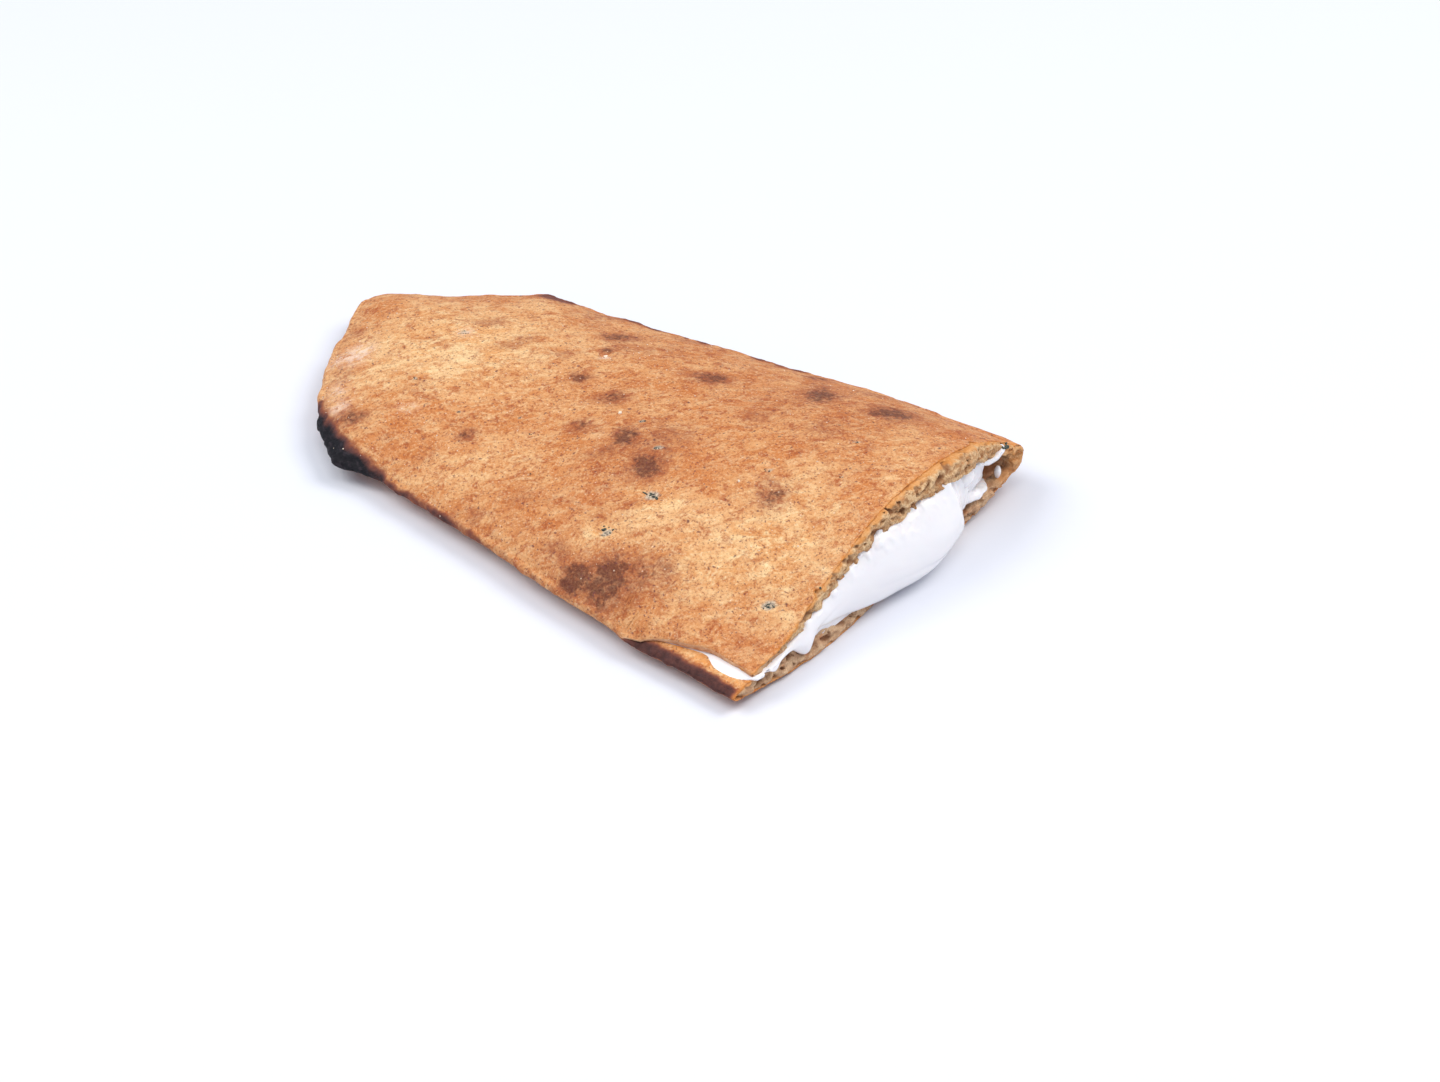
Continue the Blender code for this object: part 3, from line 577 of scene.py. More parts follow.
def make_crust(finish):
    r = all_rays()
    rows, bare, shelf = section_rows(r)
    n, m = rows.shape[:2]
    count = n * m
    outer_index = np.arange(count).reshape(n, m)
    # the crust's thickness at the cut, then the way back in under it
    first = np.stack([rows[0], rows[-1]])
    points = [rows.reshape(-1, 3)]
    bare_all = [bare.ravel()]
    faces = [grid_faces(outer_index)]
    lip_normal = []
    for side, row in ((0, rows[0]), (1, rows[-1])):
        along = np.gradient(row, axis=0)
        normal = np.stack([np.zeros(m), -along[:, 2], along[:, 1]], 1)
        normal /= np.maximum(np.linalg.norm(normal, axis=1), 1e-9)[:, None]
        if side == 0:
            normal = -normal
        normal[0], normal[-1] = (0, 0, 1), (0, 0, -1)
        lip_normal.append(normal)
    inner_rays = [i for i in (7, 9, 12, 15, 18, 21, 24)] + list(range(30, len(SX) - 3, 9))
    last = n - 1
    pick = inner_rays + list(range(len(SX) - 1, n - len(SX) + 1, 8)) + [last - i for i in inner_rays[::-1]]
    sub = Rays(r.x[pick], r.psi[pick])
    hollow = hollow_rows(sub, m)
    start = count
    inner_index = start + np.arange(len(pick) * m).reshape(len(pick), m)
    points.append(hollow.reshape(-1, 3))
    bare_all.append(np.full(len(pick) * m, 2.0))
    faces.append(grid_faces(inner_index, True))
    total = start + len(pick) * m
    for side, (edge_row, x_in, inner_row) in enumerate(((outer_index[0], -3.5, inner_index[0]), (outer_index[-1], -3.5, inner_index[-1]))):
        base, base_in = (rows[0], rows[7]) if side == 0 else (rows[-1], rows[-8])
        normal = lip_normal[side]
        lip = base - normal * (0.32 + 0.1 * noise(base[:, 1], base[:, 2], 0, 1.5, 5))[:, None]
        keep = np.ones(m)
        if side == 0:
            keep[TOP_ROWS - 4 : TOP_ROWS + BREAK_ROWS + 3] = 0.1
        deep = base_in - normal * (0.55 * keep)[:, None]
        deep[:, 0] = x_in
        ring = []
        for extra, value in ((lip, 1.5), (deep, 2.0)):
            ring.append(total + np.arange(m))
            points.append(extra)
            bare_all.append(np.full(m, value))
            total += m
        strip = np.stack([edge_row, ring[0], ring[1], inner_row])
        faces.append(grid_faces(strip, side == 0))
    points, bare_all = np.concatenate(points), np.concatenate(bare_all)
    faces = np.concatenate(faces)
    points, faces, kept = weld(points, faces)
    bare_all = bare_all[kept]
    shelf_all = np.zeros(len(kept))
    shelf_all[kept < count] = shelf.ravel()[kept[kept < count]]
    normals = vertex_normals(points, faces)
    if normals[points[:, 2].argmax(), 2] < 0:
        faces, normals = faces[:, ::-1], -normals
        tri = faces[:, 0] == faces[:, 1]
        faces[tri] = np.roll(faces[tri], -1, axis=1)[:, [0, 1, 2, 2]] if tri.any() else faces[tri]
    x, y, z = points.T
    outside = bare_all < 1.6
    up = normals[:, 2]
    values = crust_values(points, up, shelf_all)
    values["bare"] = np.clip(bare_all, 0, 1) * (bare_all != 1.5) + 0.35 * (bare_all == 1.5)
    # small unevenness of the surface
    topside = smooth(-0.2, 0.5, up)
    u, v = x * 0.778 + y * 0.628, -x * 0.628 + y * 0.778
    move = 0.30 * noise(x, y, z, 22.0, 11) + 0.16 * noise(u / 2.2, v, z, 5.0, 12) + 0.07 * noise(u / 1.8, v, z, 2.3, 13)
    move = move + 0.10 * smooth(0.2, 0.8, noise(x, y, z, 3.4, 14)) - 0.06 * values["char"] * noise(x, y, z, 1.7, 15)
    move = move * lerp(0.45, 1.0, topside)
    for s in HERBS:
        move = move - 0.34 * s[4] * ellipse(x, y, s) * topside
    move = move - 1.0 * ellipse(x, y, CRATER) * topside + 0.35 * ellipse(x, y, (CRATER[0] - 0.6, CRATER[1] + 1.9, 1.2, 0.8)) * topside
    gap = rim_distance(x, y)
    near_rim = smooth(2.2, 0.4, gap) * (x < 0.5)
    move = move + near_rim * (0.32 * noise(x, y, z, 4.5, 21) + 0.2 * noise(x, y, z, 1.8, 22)) * lerp(1.0, 1.9, values["char"])
    move = np.where(outside, move, 0.0)
    move = move * np.where(bare_all == 1, 0.8, 1.0)
    points = points + normals * move[:, None]
    # the edge at the cut: set back, and a little ragged
    x, y, z = points.T
    jag = 0.30 * noise(y, z, 0, 2.8, 31) + 0.26 * noise(y, z, 0, 1.3, 32)
    back = cut_back(y, z) + jag
    lips = bare_all == 1.5
    pull = back * np.exp(np.minimum(x, 0) / 2.2)
    pull = np.where(lips, back + 0.05, pull)
    points[:, 0] -= np.where(bare_all == 2.0, 0.0, pull)
    points[:, 2] = np.where(outside, np.maximum(points[:, 2], 0.0), points[:, 2])
    return piece("crust", points, faces, "bread", finish, values)


# ---- crumb at the cut ---------------------------------------------------------------------
def signed(loop, y, z):
    """Distance from a closed loop in the y, z plane, negative inside it."""
    a, b = loop, np.roll(loop, -1, axis=0)
    keep = np.hypot(*(b - a).T) > 1e-6
    a, b = a[keep], b[keep]
    best = np.full(y.shape, 1e9)
    odd = np.zeros(y.shape, bool)
    for (ay, az), (by, bz) in zip(a, b):
        dy, dz = by - ay, bz - az
        t = np.clip(((y - ay) * dy + (z - az) * dz) / (dy * dy + dz * dz), 0, 1)
        best = np.minimum(best, (y - ay - t * dy) ** 2 + (z - az - t * dz) ** 2)
        if az != bz:
            odd ^= ((az > z) != (bz > z)) & (y < ay + (z - az) / (bz - az) * dy)
    return np.where(odd, -1, 1) * np.sqrt(best)


def spread(table, ys, zs, y, z):
    """Value of a table on a regular grid at other places."""
    fy = np.clip((y - ys[0]) / (ys[1] - ys[0]), 0, len(ys) - 1.001)
    fz = np.clip((z - zs[0]) / (zs[1] - zs[0]), 0, len(zs) - 1.001)
    i, k = fy.astype(int), fz.astype(int)
    u, w = fy - i, fz - k
    return (table[i, k] * (1 - u) + table[i + 1, k] * u) * (1 - w) + (table[i, k + 1] * (1 - u) + table[i + 1, k + 1] * u) * w


def crumb_reach(y, z, depth):
    """x of the crumb's face: it stands out of the crust's edge, most towards the back of the top."""
    upper = smooth(8.5, 13.0, z)
    out_top = curve([(-60, 0.1), (-45, 0.3), (-30, 0.6), (-15, 1.3), (0, 1.9), (12, 2.4), (22, 2.8), (30, 2.5), (36, 1.5), (42, 0.7), (60, 0.2)], y)
    out_low = curve([(-60, 0.3), (-50, 0.5), (-42, 1.3), (-34, 1.9), (-18, 1.9), (-8, 1.2), (0, 0.8), (36, 0.1), (48, 0.3), (60, 0.2)], y)
    out_low = out_low - 1.3 * smooth(0.8, 4.6, z) * smooth(-52, -44, y) * smooth(0, -12, y)
    out = lerp(out_low, out_top, upper)
    return out * (1 - np.exp(-np.maximum(depth, 0) / 0.75)) - 0.9 * cut_back(y, z) * np.exp(-np.maximum(depth, 0) / 0.55)


# How high the bottom layer's crumb stands at the cut, along y
STAND = [(-54, 4.3), (-51.5, 5.5), (-49, 5.9), (-47.3, 5.6), (-45.7, 4.1), (-44, 5.6), (-41, 6.1), (-38, 5.8), (-35.8, 4.2), (-33.8, 2.4), (-31.8, 4.2), (-30, 6.1), (-28.6, 6.6), (-26, 5.9), (-21.5, 4.9), (-18, 4.0), (-15, 3.2)]
# larger cavities in the crumb: y, z, half sizes and depth
VOIDS = [(2.5, 23.6, 1.5, 0.9, 1.6), (6.5, 22.2, 1.1, 1.5, 1.2), (11.5, 25.0, 1.6, 0.6, 1.5), (17.5, 24.6, 1.4, 0.6, 1.6), (36.6, 21.8, 0.9, 1.6, 1.2), (-16.5, 19.6, 0.8, 1.3, 1.0), (28.0, 22.2, 1.6, 0.7, 0.8), (-27.4, 16.3, 0.9, 0.9, 1.3)]


def make_crumb(finish):
    ends = Rays(np.array([[0.0], [0.0]]), np.array([[-90.0], [90.0]]))
    rows, _, _ = section_rows(ends)
    hollow = hollow_rows(ends, rows.shape[1])
    outer = np.concatenate([rows[0, :, 1:], rows[1, ::-1, 1:][1:-1]])
    inner = np.concatenate([hollow[0, :, 1:], hollow[1, ::-1, 1:][1:-1]])
    step = 0.25
    ys = np.arange(-59.6, 59.8, step)
    zs = np.arange(-0.8, 28.6, step)
    gy, gz = np.meshgrid(ys, zs, indexing="ij")
    to_outer = signed(outer, gy, gz)
    to_inner = -signed(inner, gy, gz)
    xs = np.concatenate([[-4.9, -4.3, -3.6, -3.0, -2.5, -2.1, -1.8], np.arange(-1.55, 3.2, step)])
    x, y, z = np.meshgrid(xs, ys, zs, indexing="ij")
    band = np.maximum(to_outer + 0.22, to_inner)[None]
    depth = -to_outer[None]
    strand = y * 0.45 + 0.2 * z
    wobble = 0.20 * noise(x, strand, z, 0.95, 201) + 0.14 * noise(x, y, z, 0.58, 202) + 0.2 * noise(x, y, z, 4.5, 203)
    # the face is torn: rough, with shallow irregular cavities drawn out along the dough
    tear = 0.50 * noise(0, y, z, 3.1, 204) + 0.36 * noise(0, strand, z, 1.2, 205) + 0.18 * noise(0, y, z, 0.7, 210)
    cavity = 1.5 * smooth(0.06, 0.50, noise(x * 0.55, y * 0.60 + z * 0.25, z, 2.3, 206)) + 0.9 * smooth(0.08, 0.45, noise(x * 0.6, y * 0.7 - z * 0.2, z, 1.15, 207))
    for cy, cz, ry, rz, deep in VOIDS:
        cavity = cavity + deep * smooth(1.25, 0.5, np.sqrt(((y - cy) / ry) ** 2 + ((z - cz) / rz) ** 2) + 0.55 * noise(0, y, z, 1.3, 208))
    inner_part = smooth(0.05, 0.55, depth)
    stand = np.where(y < -15.2, curve(STAND, y), 0.0) + 0.22 * noise(0, y, z, 1.5, 213)
    shoulder = 0.9 * smooth(-1.1, -0.1, z - stand) * (z < stand + 0.7) * smooth(-47.5, -44.0, y) * (y < -15.2)
    face = x - (crumb_reach(y, z, depth) + (tear - cavity) * inner_part) + shoulder
    # near the filling the crumb hangs a little lower, and the bottom layer stands a little higher
    sag = (0.8 * bump(y, 22, 12) + 1.3 * bump(y, 5.5, 6.5) + 0.35 * bump(y, -8, 14)) * smooth(8, 13, z) * smooth(-1.5, 0.6, x)
    sag = sag + 1.3 * bump(y, -27, 14) * smooth(8, 5, z) * smooth(-1.8, -0.4, x)
    sag = sag + 0.25 * noise(0, y, z, 1.6, 209)
    band3 = np.maximum(to_outer[None] + 0.22, to_inner[None] - sag)
    band3 = np.minimum(band3, np.maximum(np.maximum(to_outer[None] + 0.22, z - stand), -2.7 - x))
    field = np.maximum(np.maximum(band3 + 0.15 * smooth(-3.2, -4.2, x), -4.4 - x), face) + wobble * smooth(-3.4, -1.5, x)
    # a few small round bubbles
    rng = np.random.default_rng(11)
    inside = np.argwhere(band[0] < -0.1)
    for _ in range(170):
        j, k = inside[rng.integers(len(inside))]
        cy, cz = ys[j], zs[k]
        size = 0.22 + 0.22 * rng.random() + 0.3 * (rng.random() ** 8)
        cx = float(crumb_reach(np.array(cy), np.array(cz), np.array(-to_outer[j, k]))) - rng.random() * 0.8 + 0.1
        long = 1.0 + 0.9 * rng.random()
        tilt = (rng.random() - 0.5) * 0.8
        reach = size * long + 0.3
        i0, i1 = np.searchsorted(xs, [cx - reach, cx + reach])
        j0, j1 = np.searchsorted(ys, [cy - reach, cy + reach])
        k0, k1 = np.searchsorted(zs, [cz - reach, cz + reach])
        if i1 <= i0:
            continue
        dx, dy, dz = x[i0:i1, j0:j1, k0:k1] - cx, y[i0:i1, j0:j1, k0:k1] - cy, z[i0:i1, j0:j1, k0:k1] - cz
        dy, dz = (dy * math.cos(tilt) + dz * math.sin(tilt)) / long, -dy * math.sin(tilt) + dz * math.cos(tilt)
        ball = np.sqrt(dx * dx + dy * dy + dz * dz) - size
        cut = np.maximum(field[i0:i1, j0:j1, k0:k1], -ball)
        # leave a wall between a bubble and the crust
        wall = to_outer[None, j0:j1, k0:k1] + 0.22 > -0.18
        field[i0:i1, j0:j1, k0:k1] = np.where(wall, field[i0:i1, j0:j1, k0:k1], cut)
    field[0] = field[-1] = 1.0
    points, faces = skin(field, xs, ys, zs)
    px, py, pz = points.T
    away = spread(to_outer, ys, zs, py, pz)
    # painted shade: how far the crumb's face lies recessed, used to darken its cavities and pores, less so at the
    # hollow at the back
    recess_shade = np.clip((crumb_reach(py, pz, -away) - px) / 1.4, 0, 1) * (1 - 0.95 * smooth(33, 39, py))
    return piece("crumb", points, faces, "bread", finish, {"deep": recess_shade, "rind": np.maximum(smooth(-0.75, -0.25, away + 0.5 * noise(px, py, pz, 1.4, 211)), 0.7 * smooth(43, 50, py + 2.0 * noise(px, py, pz, 2.0, 212)) * smooth(-3.0, -1.0, px))})


# ---- labneh -------------------------------------------------------------------------------
OUT = [(-52, 0.1), (-50, 0.5), (-47.5, 0.9), (-45.7, 1.5), (-43.5, 1.0), (-41, 1.0), (-38, 1.3), (-36, 1.9), (-33.8, 2.4), (-31.8, 1.9), (-29.5, 1.8), (-27, 2.0), (-24, 2.1), (-21.5, 2.3), (-18, 2.7), (-15, 3.2), (-12, 3.8), (-8.6, 4.5), (-3, 5.5), (3, 6.5), (8, 7.3), (12, 7.4), (16, 7.1), (19, 6.7), (22, 6.0), (25, 4.7), (27.5, 2.9), (30, 0.9), (32, 0.1)]
HANG = [(-52, 6.8), (-50, 6.6), (-47.5, 6.0), (-45.7, 4.4), (-43.5, 6.1), (-41, 6.4), (-38, 6.0), (-36, 4.0), (-33.8, 2.4), (-31.8, 4.2), (-30.0, 6.6), (-28.6, 7.1), (-26, 6.3), (-21.5, 5.3), (-18, 4.4), (-15, 3.5), (-8.6, 2.1), (-3, 1.4), (3, 1.0), (8, 0.8), (14, 1.0), (17, 1.6), (19.4, 2.3), (23, 2.9), (26, 4.0), (28, 5.5), (30, 7.5), (32, 9)]


FINE = np.arange(-60.0, 60.0, 0.1)
BLUR = np.exp(-((np.arange(-25, 26) * 0.1 / 0.85) ** 2))


def softened(table):
    """A table's values along y with its corners rounded off."""
    raw = curve(table, np.concatenate([FINE[0] + np.arange(-25, 0) * 0.1, FINE, FINE[-1] + np.arange(1, 26) * 0.1]))
    return np.convolve(raw, BLUR / BLUR.sum(), "valid")


OUT_FINE, HANG_FINE = softened(OUT), softened(HANG)


def side_ray(x, y):
    """For places in plan ahead of the rounded end: the front or back ray and the share along it."""
    x = np.minimum(x, 0.0)
    sy = CROWN_OFF * (1 + x / SIDE)
    psi = np.where(y < sy, -90.0, 90.0)
    r = Rays(x, psi)
    return r, np.abs((y - r.sy) / (r.ry - r.sy))


def blob(x, y, z, centre, size):
    dx, dy, dz = (x - centre[0]) / size[0], (y - centre[1]) / size[1], (z - centre[2]) / size[2]
    return (np.sqrt(dx * dx + dy * dy + dz * dz) - 1) * min(size)


def join(a, b, soft):
    h = np.clip(0.5 + 0.5 * (b - a) / soft, 0, 1)
    return b + (a - b) * h - soft * h * (1 - h)


def lobe_field(x, y, z):
    """The labneh squeezed out of the cut."""
    lean = y + 0.30 * np.maximum(z - 8.0, 0.0) * smooth(8, 24, y)
    r, share = side_ray(np.zeros_like(y), y)
    high, _ = r.inner(np.clip(share, 0, 0.97))
    top = high + 0.25 - 0.9 * smooth(20, 30, y) - 1.5 * bump(y, 5.5, 6.0)
    hang = np.interp(lean, FINE, HANG_FINE)
    out = np.interp(lean, FINE, OUT_FINE) * (1 + 0.05 * noise(0, y, z, 9.0, 301))
    middle, half = (top + hang) / 2, np.maximum((top - hang) / 2, 0.35)
    v = (z - middle) / half
    # the fullest place lies below the middle, as in something soft that sags
    v = v + 0.22 * (1 - np.clip(v * v, 0, 1)) * smooth(0.5, 4.0, out)
    wide = np.where(x > 0, x / np.maximum(out, 0.15), 0.0)
    power = 2.15
    f = (np.abs(wide) ** power + np.abs(v) ** power + 1e-9) ** (1 / power) - 1
    f = f * np.minimum(half, 0.7 * out + 0.9)
    f = np.maximum(f, -1.6 - x)
    # soft ridges and hollows of the squeezed cream
    f = f + 0.55 * bump(y + 0.30 * (z - 12) - 25.6, 0.0, 0.9) * smooth(0.3, 1.5, x) * smooth(9, 12, z)
    f = f - 0.30 * bump(y + 0.28 * (z - 12), 23.0, 1.9) * smooth(0.5, 2.0, x) * smooth(5, 9, z)
    f = f + 0.22 * noise(x * 0.6, y * 0.7, z + 0.35 * y, 6.5, 302) + 0.05 * noise(x, y * 0.5, z + 0.3 * y, 2.6, 303)
    f = f + 0.24 * bump(z - 0.30 * y, 17.0, 0.9) * bump(y, -27.0, 5.0) - 0.20 * bump(z - 0.42 * y, 24.0, 1.1) * bump(y, -32.0, 6.0)
    f = f + 0.18 * bump(z + 0.12 * y, 7.5, 0.9) * bump(y, 12.0, 14.0) * smooth(1, 3, x)
    # the film under the crumb reaches out unevenly
    f = f - 0.30 * smooth(0.0, 0.7, noise(x, y, z, 2.6, 305)) * smooth(0.55, 1.0, v)
    return np.maximum(np.maximum(f, (lean - 32.0) * 0.8), (-52.0 - y) * 0.8)


def core_field(x, y, z):
    """The labneh inside the pocket."""
    r, share = side_ray(x, y)
    reach = REACH_AT(x, y)
    high, low = r.inner(np.clip(share, 0, 0.97), -0.06)
    front = y < r.sy
    stop = np.where(front, reach * 0.995, reach * lerp(0.50, 0.97, smooth(0.0, 22.0, -x)))
    rounded = np.where(front, 0.92, lerp(0.62, 0.9, smooth(0.0, 22.0, -x)))
    f = share / np.maximum(stop, 0.05)
    w = np.sqrt(np.clip(1 - (np.maximum(f - rounded, 0) / (1 - rounded)) ** 2, 0, 1))
    middle, half = (high + low) / 2, (high - low) / 2 * w
    g = np.abs(z - middle) - half
    return np.maximum(np.maximum(g, (f - 1) * 6), x - lerp(0.6, -1.5, smooth(-27.0, -33.0, y)))


REACH_LINE = np.linspace(-SIDE, 0.0, 60)
REACH_FRONT = Rays(REACH_LINE, np.full(60, -90.0)).reach()
REACH_BACK = Rays(REACH_LINE, np.full(60, 90.0)).reach()


def REACH_AT(x, y):
    sy = CROWN_OFF * (1 + np.minimum(x, 0) / SIDE)
    return np.where(y < sy, np.interp(x, REACH_LINE, REACH_FRONT), np.interp(x, REACH_LINE, REACH_BACK))


def end_field(x, y, z):
    """The labneh in the rounded end, where it thins out."""
    away = np.maximum(-SIDE - x, 0) / 40.0
    w = np.sqrt(np.clip(1 - away**2, 0, 1))
    r = Rays(-SIDE, np.where(y < 0, -90.0, 90.0))
    share = np.abs(y) / np.abs(r.ry) / np.maximum(w, 0.05)
    tip = Rays(-SIDE, np.zeros(x.shape))
    along = np.clip((-SIDE - x) / tip.span, 0, 0.8)
    high, low = r.inner(np.clip(share, 0, 0.97), -0.06)
    tip_high, tip_low = tip.inner(along, 0.3)
    mid_high, mid_low = tip.inner(0.0, 0.0)
    squeeze = np.clip((tip_high - tip_low) / (mid_high - mid_low), 0, 1)
    middle = lerp((tip_high + tip_low) / 2, (high + low) / 2, w)
    f = share / np.where(y < 0, REACH_FRONT[0], REACH_BACK[0]) / 0.97
    ww = np.sqrt(np.clip(1 - (np.maximum(f - 0.8, 0) / 0.2) ** 2, 0, 1))
    half = (high - low) / 2 * squeeze * ww * np.maximum(w, 0.02)
    return np.maximum(np.maximum(np.abs(z - middle) - half, (f - 1) * 6), (away - 1) * 20)


BEAD = [(-12.7, 0.3), (-12.3, 1.0), (-11.2, 2.0), (-9.5, 2.7), (-7.0, 3.1), (-5.0, 3.0), (-3.0, 2.2), (-1.6, 1.2), (-0.6, 0.5)]
SLOPE = 0.30


def bead_path():
    """The strip of labneh in the tear: x, middle y and z, half width and half height."""
    path = []
    for x in np.linspace(-12.7, -0.6, 19):
        wide = float(curve(BEAD, np.array(x)))
        torn = float(torn_y(np.array(x)))
        inner, outer = torn + 0.7, torn - wide
        path.append((float(x), (inner + outer) / 2, LEDGE + 0.12 + SLOPE * ((inner + outer) / 2 - torn), (inner - outer) / 2, 0.25 + 0.30 * min(1.0, wide / 2)))
    path.append((0.6, -51.6, 6.5, 0.7, 0.5))
    path.append((1.0, -50.2, 6.6, 0.6, 0.6))
    return path


def bead_field(x, y, z):
    x, y, z = np.broadcast_arrays(x, y, z)
    best = np.full(x.shape, 9.0)
    path = bead_path()
    near = (y < -48) & (x > -16)
    px, py, pz = x[near], y[near], z[near]
    out = np.full(px.shape, 9.0)
    for a, b in zip(path, path[1:]):
        a, b = np.array(a), np.array(b)
        d = b[:3] - a[:3]
        t = np.clip(((px - a[0]) * d[0] + (py - a[1]) * d[1] * 0.2 + (pz - a[2]) * d[2]) / (d[0] * d[0] + 0.2 * d[1] * d[1] + d[2] * d[2]), 0, 1)
        wide, tall = lerp(a[3], b[3], t), lerp(a[4], b[4], t)
        dx, dy = px - a[0] - t * d[0], py - a[1] - t * d[1]
        dz = pz - a[2] - t * d[2] - SLOPE * dy
        out = np.minimum(out, np.sqrt((dx * dx + dy * dy) / wide**2 + dz * dz / tall**2) * tall - tall)
    best[near] = out
    return best


def extras_field(x, y, z):
    """Labneh left on the walls of the hollow at the back."""
    f = blob(x, y, z, (-0.3, 44.0, 16.6), (1.5, 4.8, 1.9)) + 0.12 * noise(x, y, z, 2.0, 311)
    f = np.maximum(f, -(blob(x, y, z, (-0.3, 43.0, 19.0), (3.2, 5.2, 2.1))))
    f = np.minimum(f, blob(x, y, z, (-1.6, 48.6, 8.4), (0.9, 0.75, 2.0)) + 0.10 * noise(x, y, z, 1.4, 312))
    f = np.minimum(f, blob(x, y, z, (-1.0, 36.3, 17.9), (1.4, 4.2, 0.7)) + 0.10 * noise(x, y, z, 1.6, 313))
    return f


def lump_field(x, y, z):
    """The ragged curtain of labneh at the hollow and the layer on its floor."""
    f = blob(x, y, z, (-2.3, 38.3, 13.4), (1.5, 4.3, 4.6))
    f = join(f, blob(x, y, z, (-1.2, 32.3, 15.6), (2.2, 3.4, 2.6)), 0.8)
    f = join(f, blob(x, y, z, (-4.0, 38.5, 6.9), (4.2, 6.5, 1.5)), 0.8)
    f = join(f, blob(x, y, z, (-2.6, 31.0, 9.5), (2.6, 4.5, 5.0)), 0.9)
    f = f + 0.30 * noise(x, y, z, 2.6, 321) + 0.07 * noise(x, y, z, 1.2, 322)
    hole = blob(x, y, z, (-2.0, 39.6, 9.3), (3.4, 1.8, 0.95))
    return np.maximum(f, -hole)


def cream_field(x, y, z):
    f = join(lobe_field(x, y, z), core_field(x, y, z), 0.5)
    f = join(f, bead_field(x, y, z), 0.35)
    f = join(f, lump_field(x, y, z), 0.35)
    return np.minimum(f, extras_field(x, y, z))


def make_cream(finish):
    fine = 0.36
    xs = np.concatenate([np.arange(-161.0, -13.5, 3.0), np.linspace(-13.0, -6.0, 10), np.arange(-5.6, 9.4, fine)])
    ys = np.arange(-60.5, 54.0, 0.42)
    zs = np.arange(0.2, 26.0, 0.38)
    x, y, z = np.meshgrid(xs, ys, zs, indexing="ij", sparse=True)
    field = np.empty((len(xs), len(ys), len(zs)))
    behind = xs < -SIDE
    split = xs < -13.2
    field[behind] = end_field(x[behind], y, z)
    middle = split & ~behind
    field[middle] = core_field(x[middle], y, z)
    field[~split] = cream_field(x[~split], y, z)
    field[:, 0] = field[:, -1] = 1.0
    field[0] = field[-1] = 1.0
    field[:, :, 0] = field[:, :, -1] = 1.0
    points, faces = skin(field, xs, ys, zs)
    front = points[:, 0] > -5.4
    p = points[front]
    for _ in range(4):
        f0, g = slope_of(cream_field, p)
        size = np.maximum((g**2).sum(1), 0.05)
        p = p - np.clip(f0 / size, -0.25, 0.25)[:, None] * g
    points[front] = p
    normals = vertex_normals(points, faces)
    _, g = slope_of(cream_field, p)
    normals[front] = g / np.maximum(np.linalg.norm(g, axis=1), 1e-9)[:, None]
    return piece("cream", points, faces, "labneh", finish, None, normals)


def slope_of(field, p):
    h = 0.03
    f0 = field(p[:, 0], p[:, 1], p[:, 2])
    g = np.stack([(field(p[:, 0] + dx, p[:, 1] + dy, p[:, 2] + dz) - f0) / h for dx, dy, dz in ((h, 0, 0), (0, h, 0), (0, 0, h))], 1)
    return f0, g


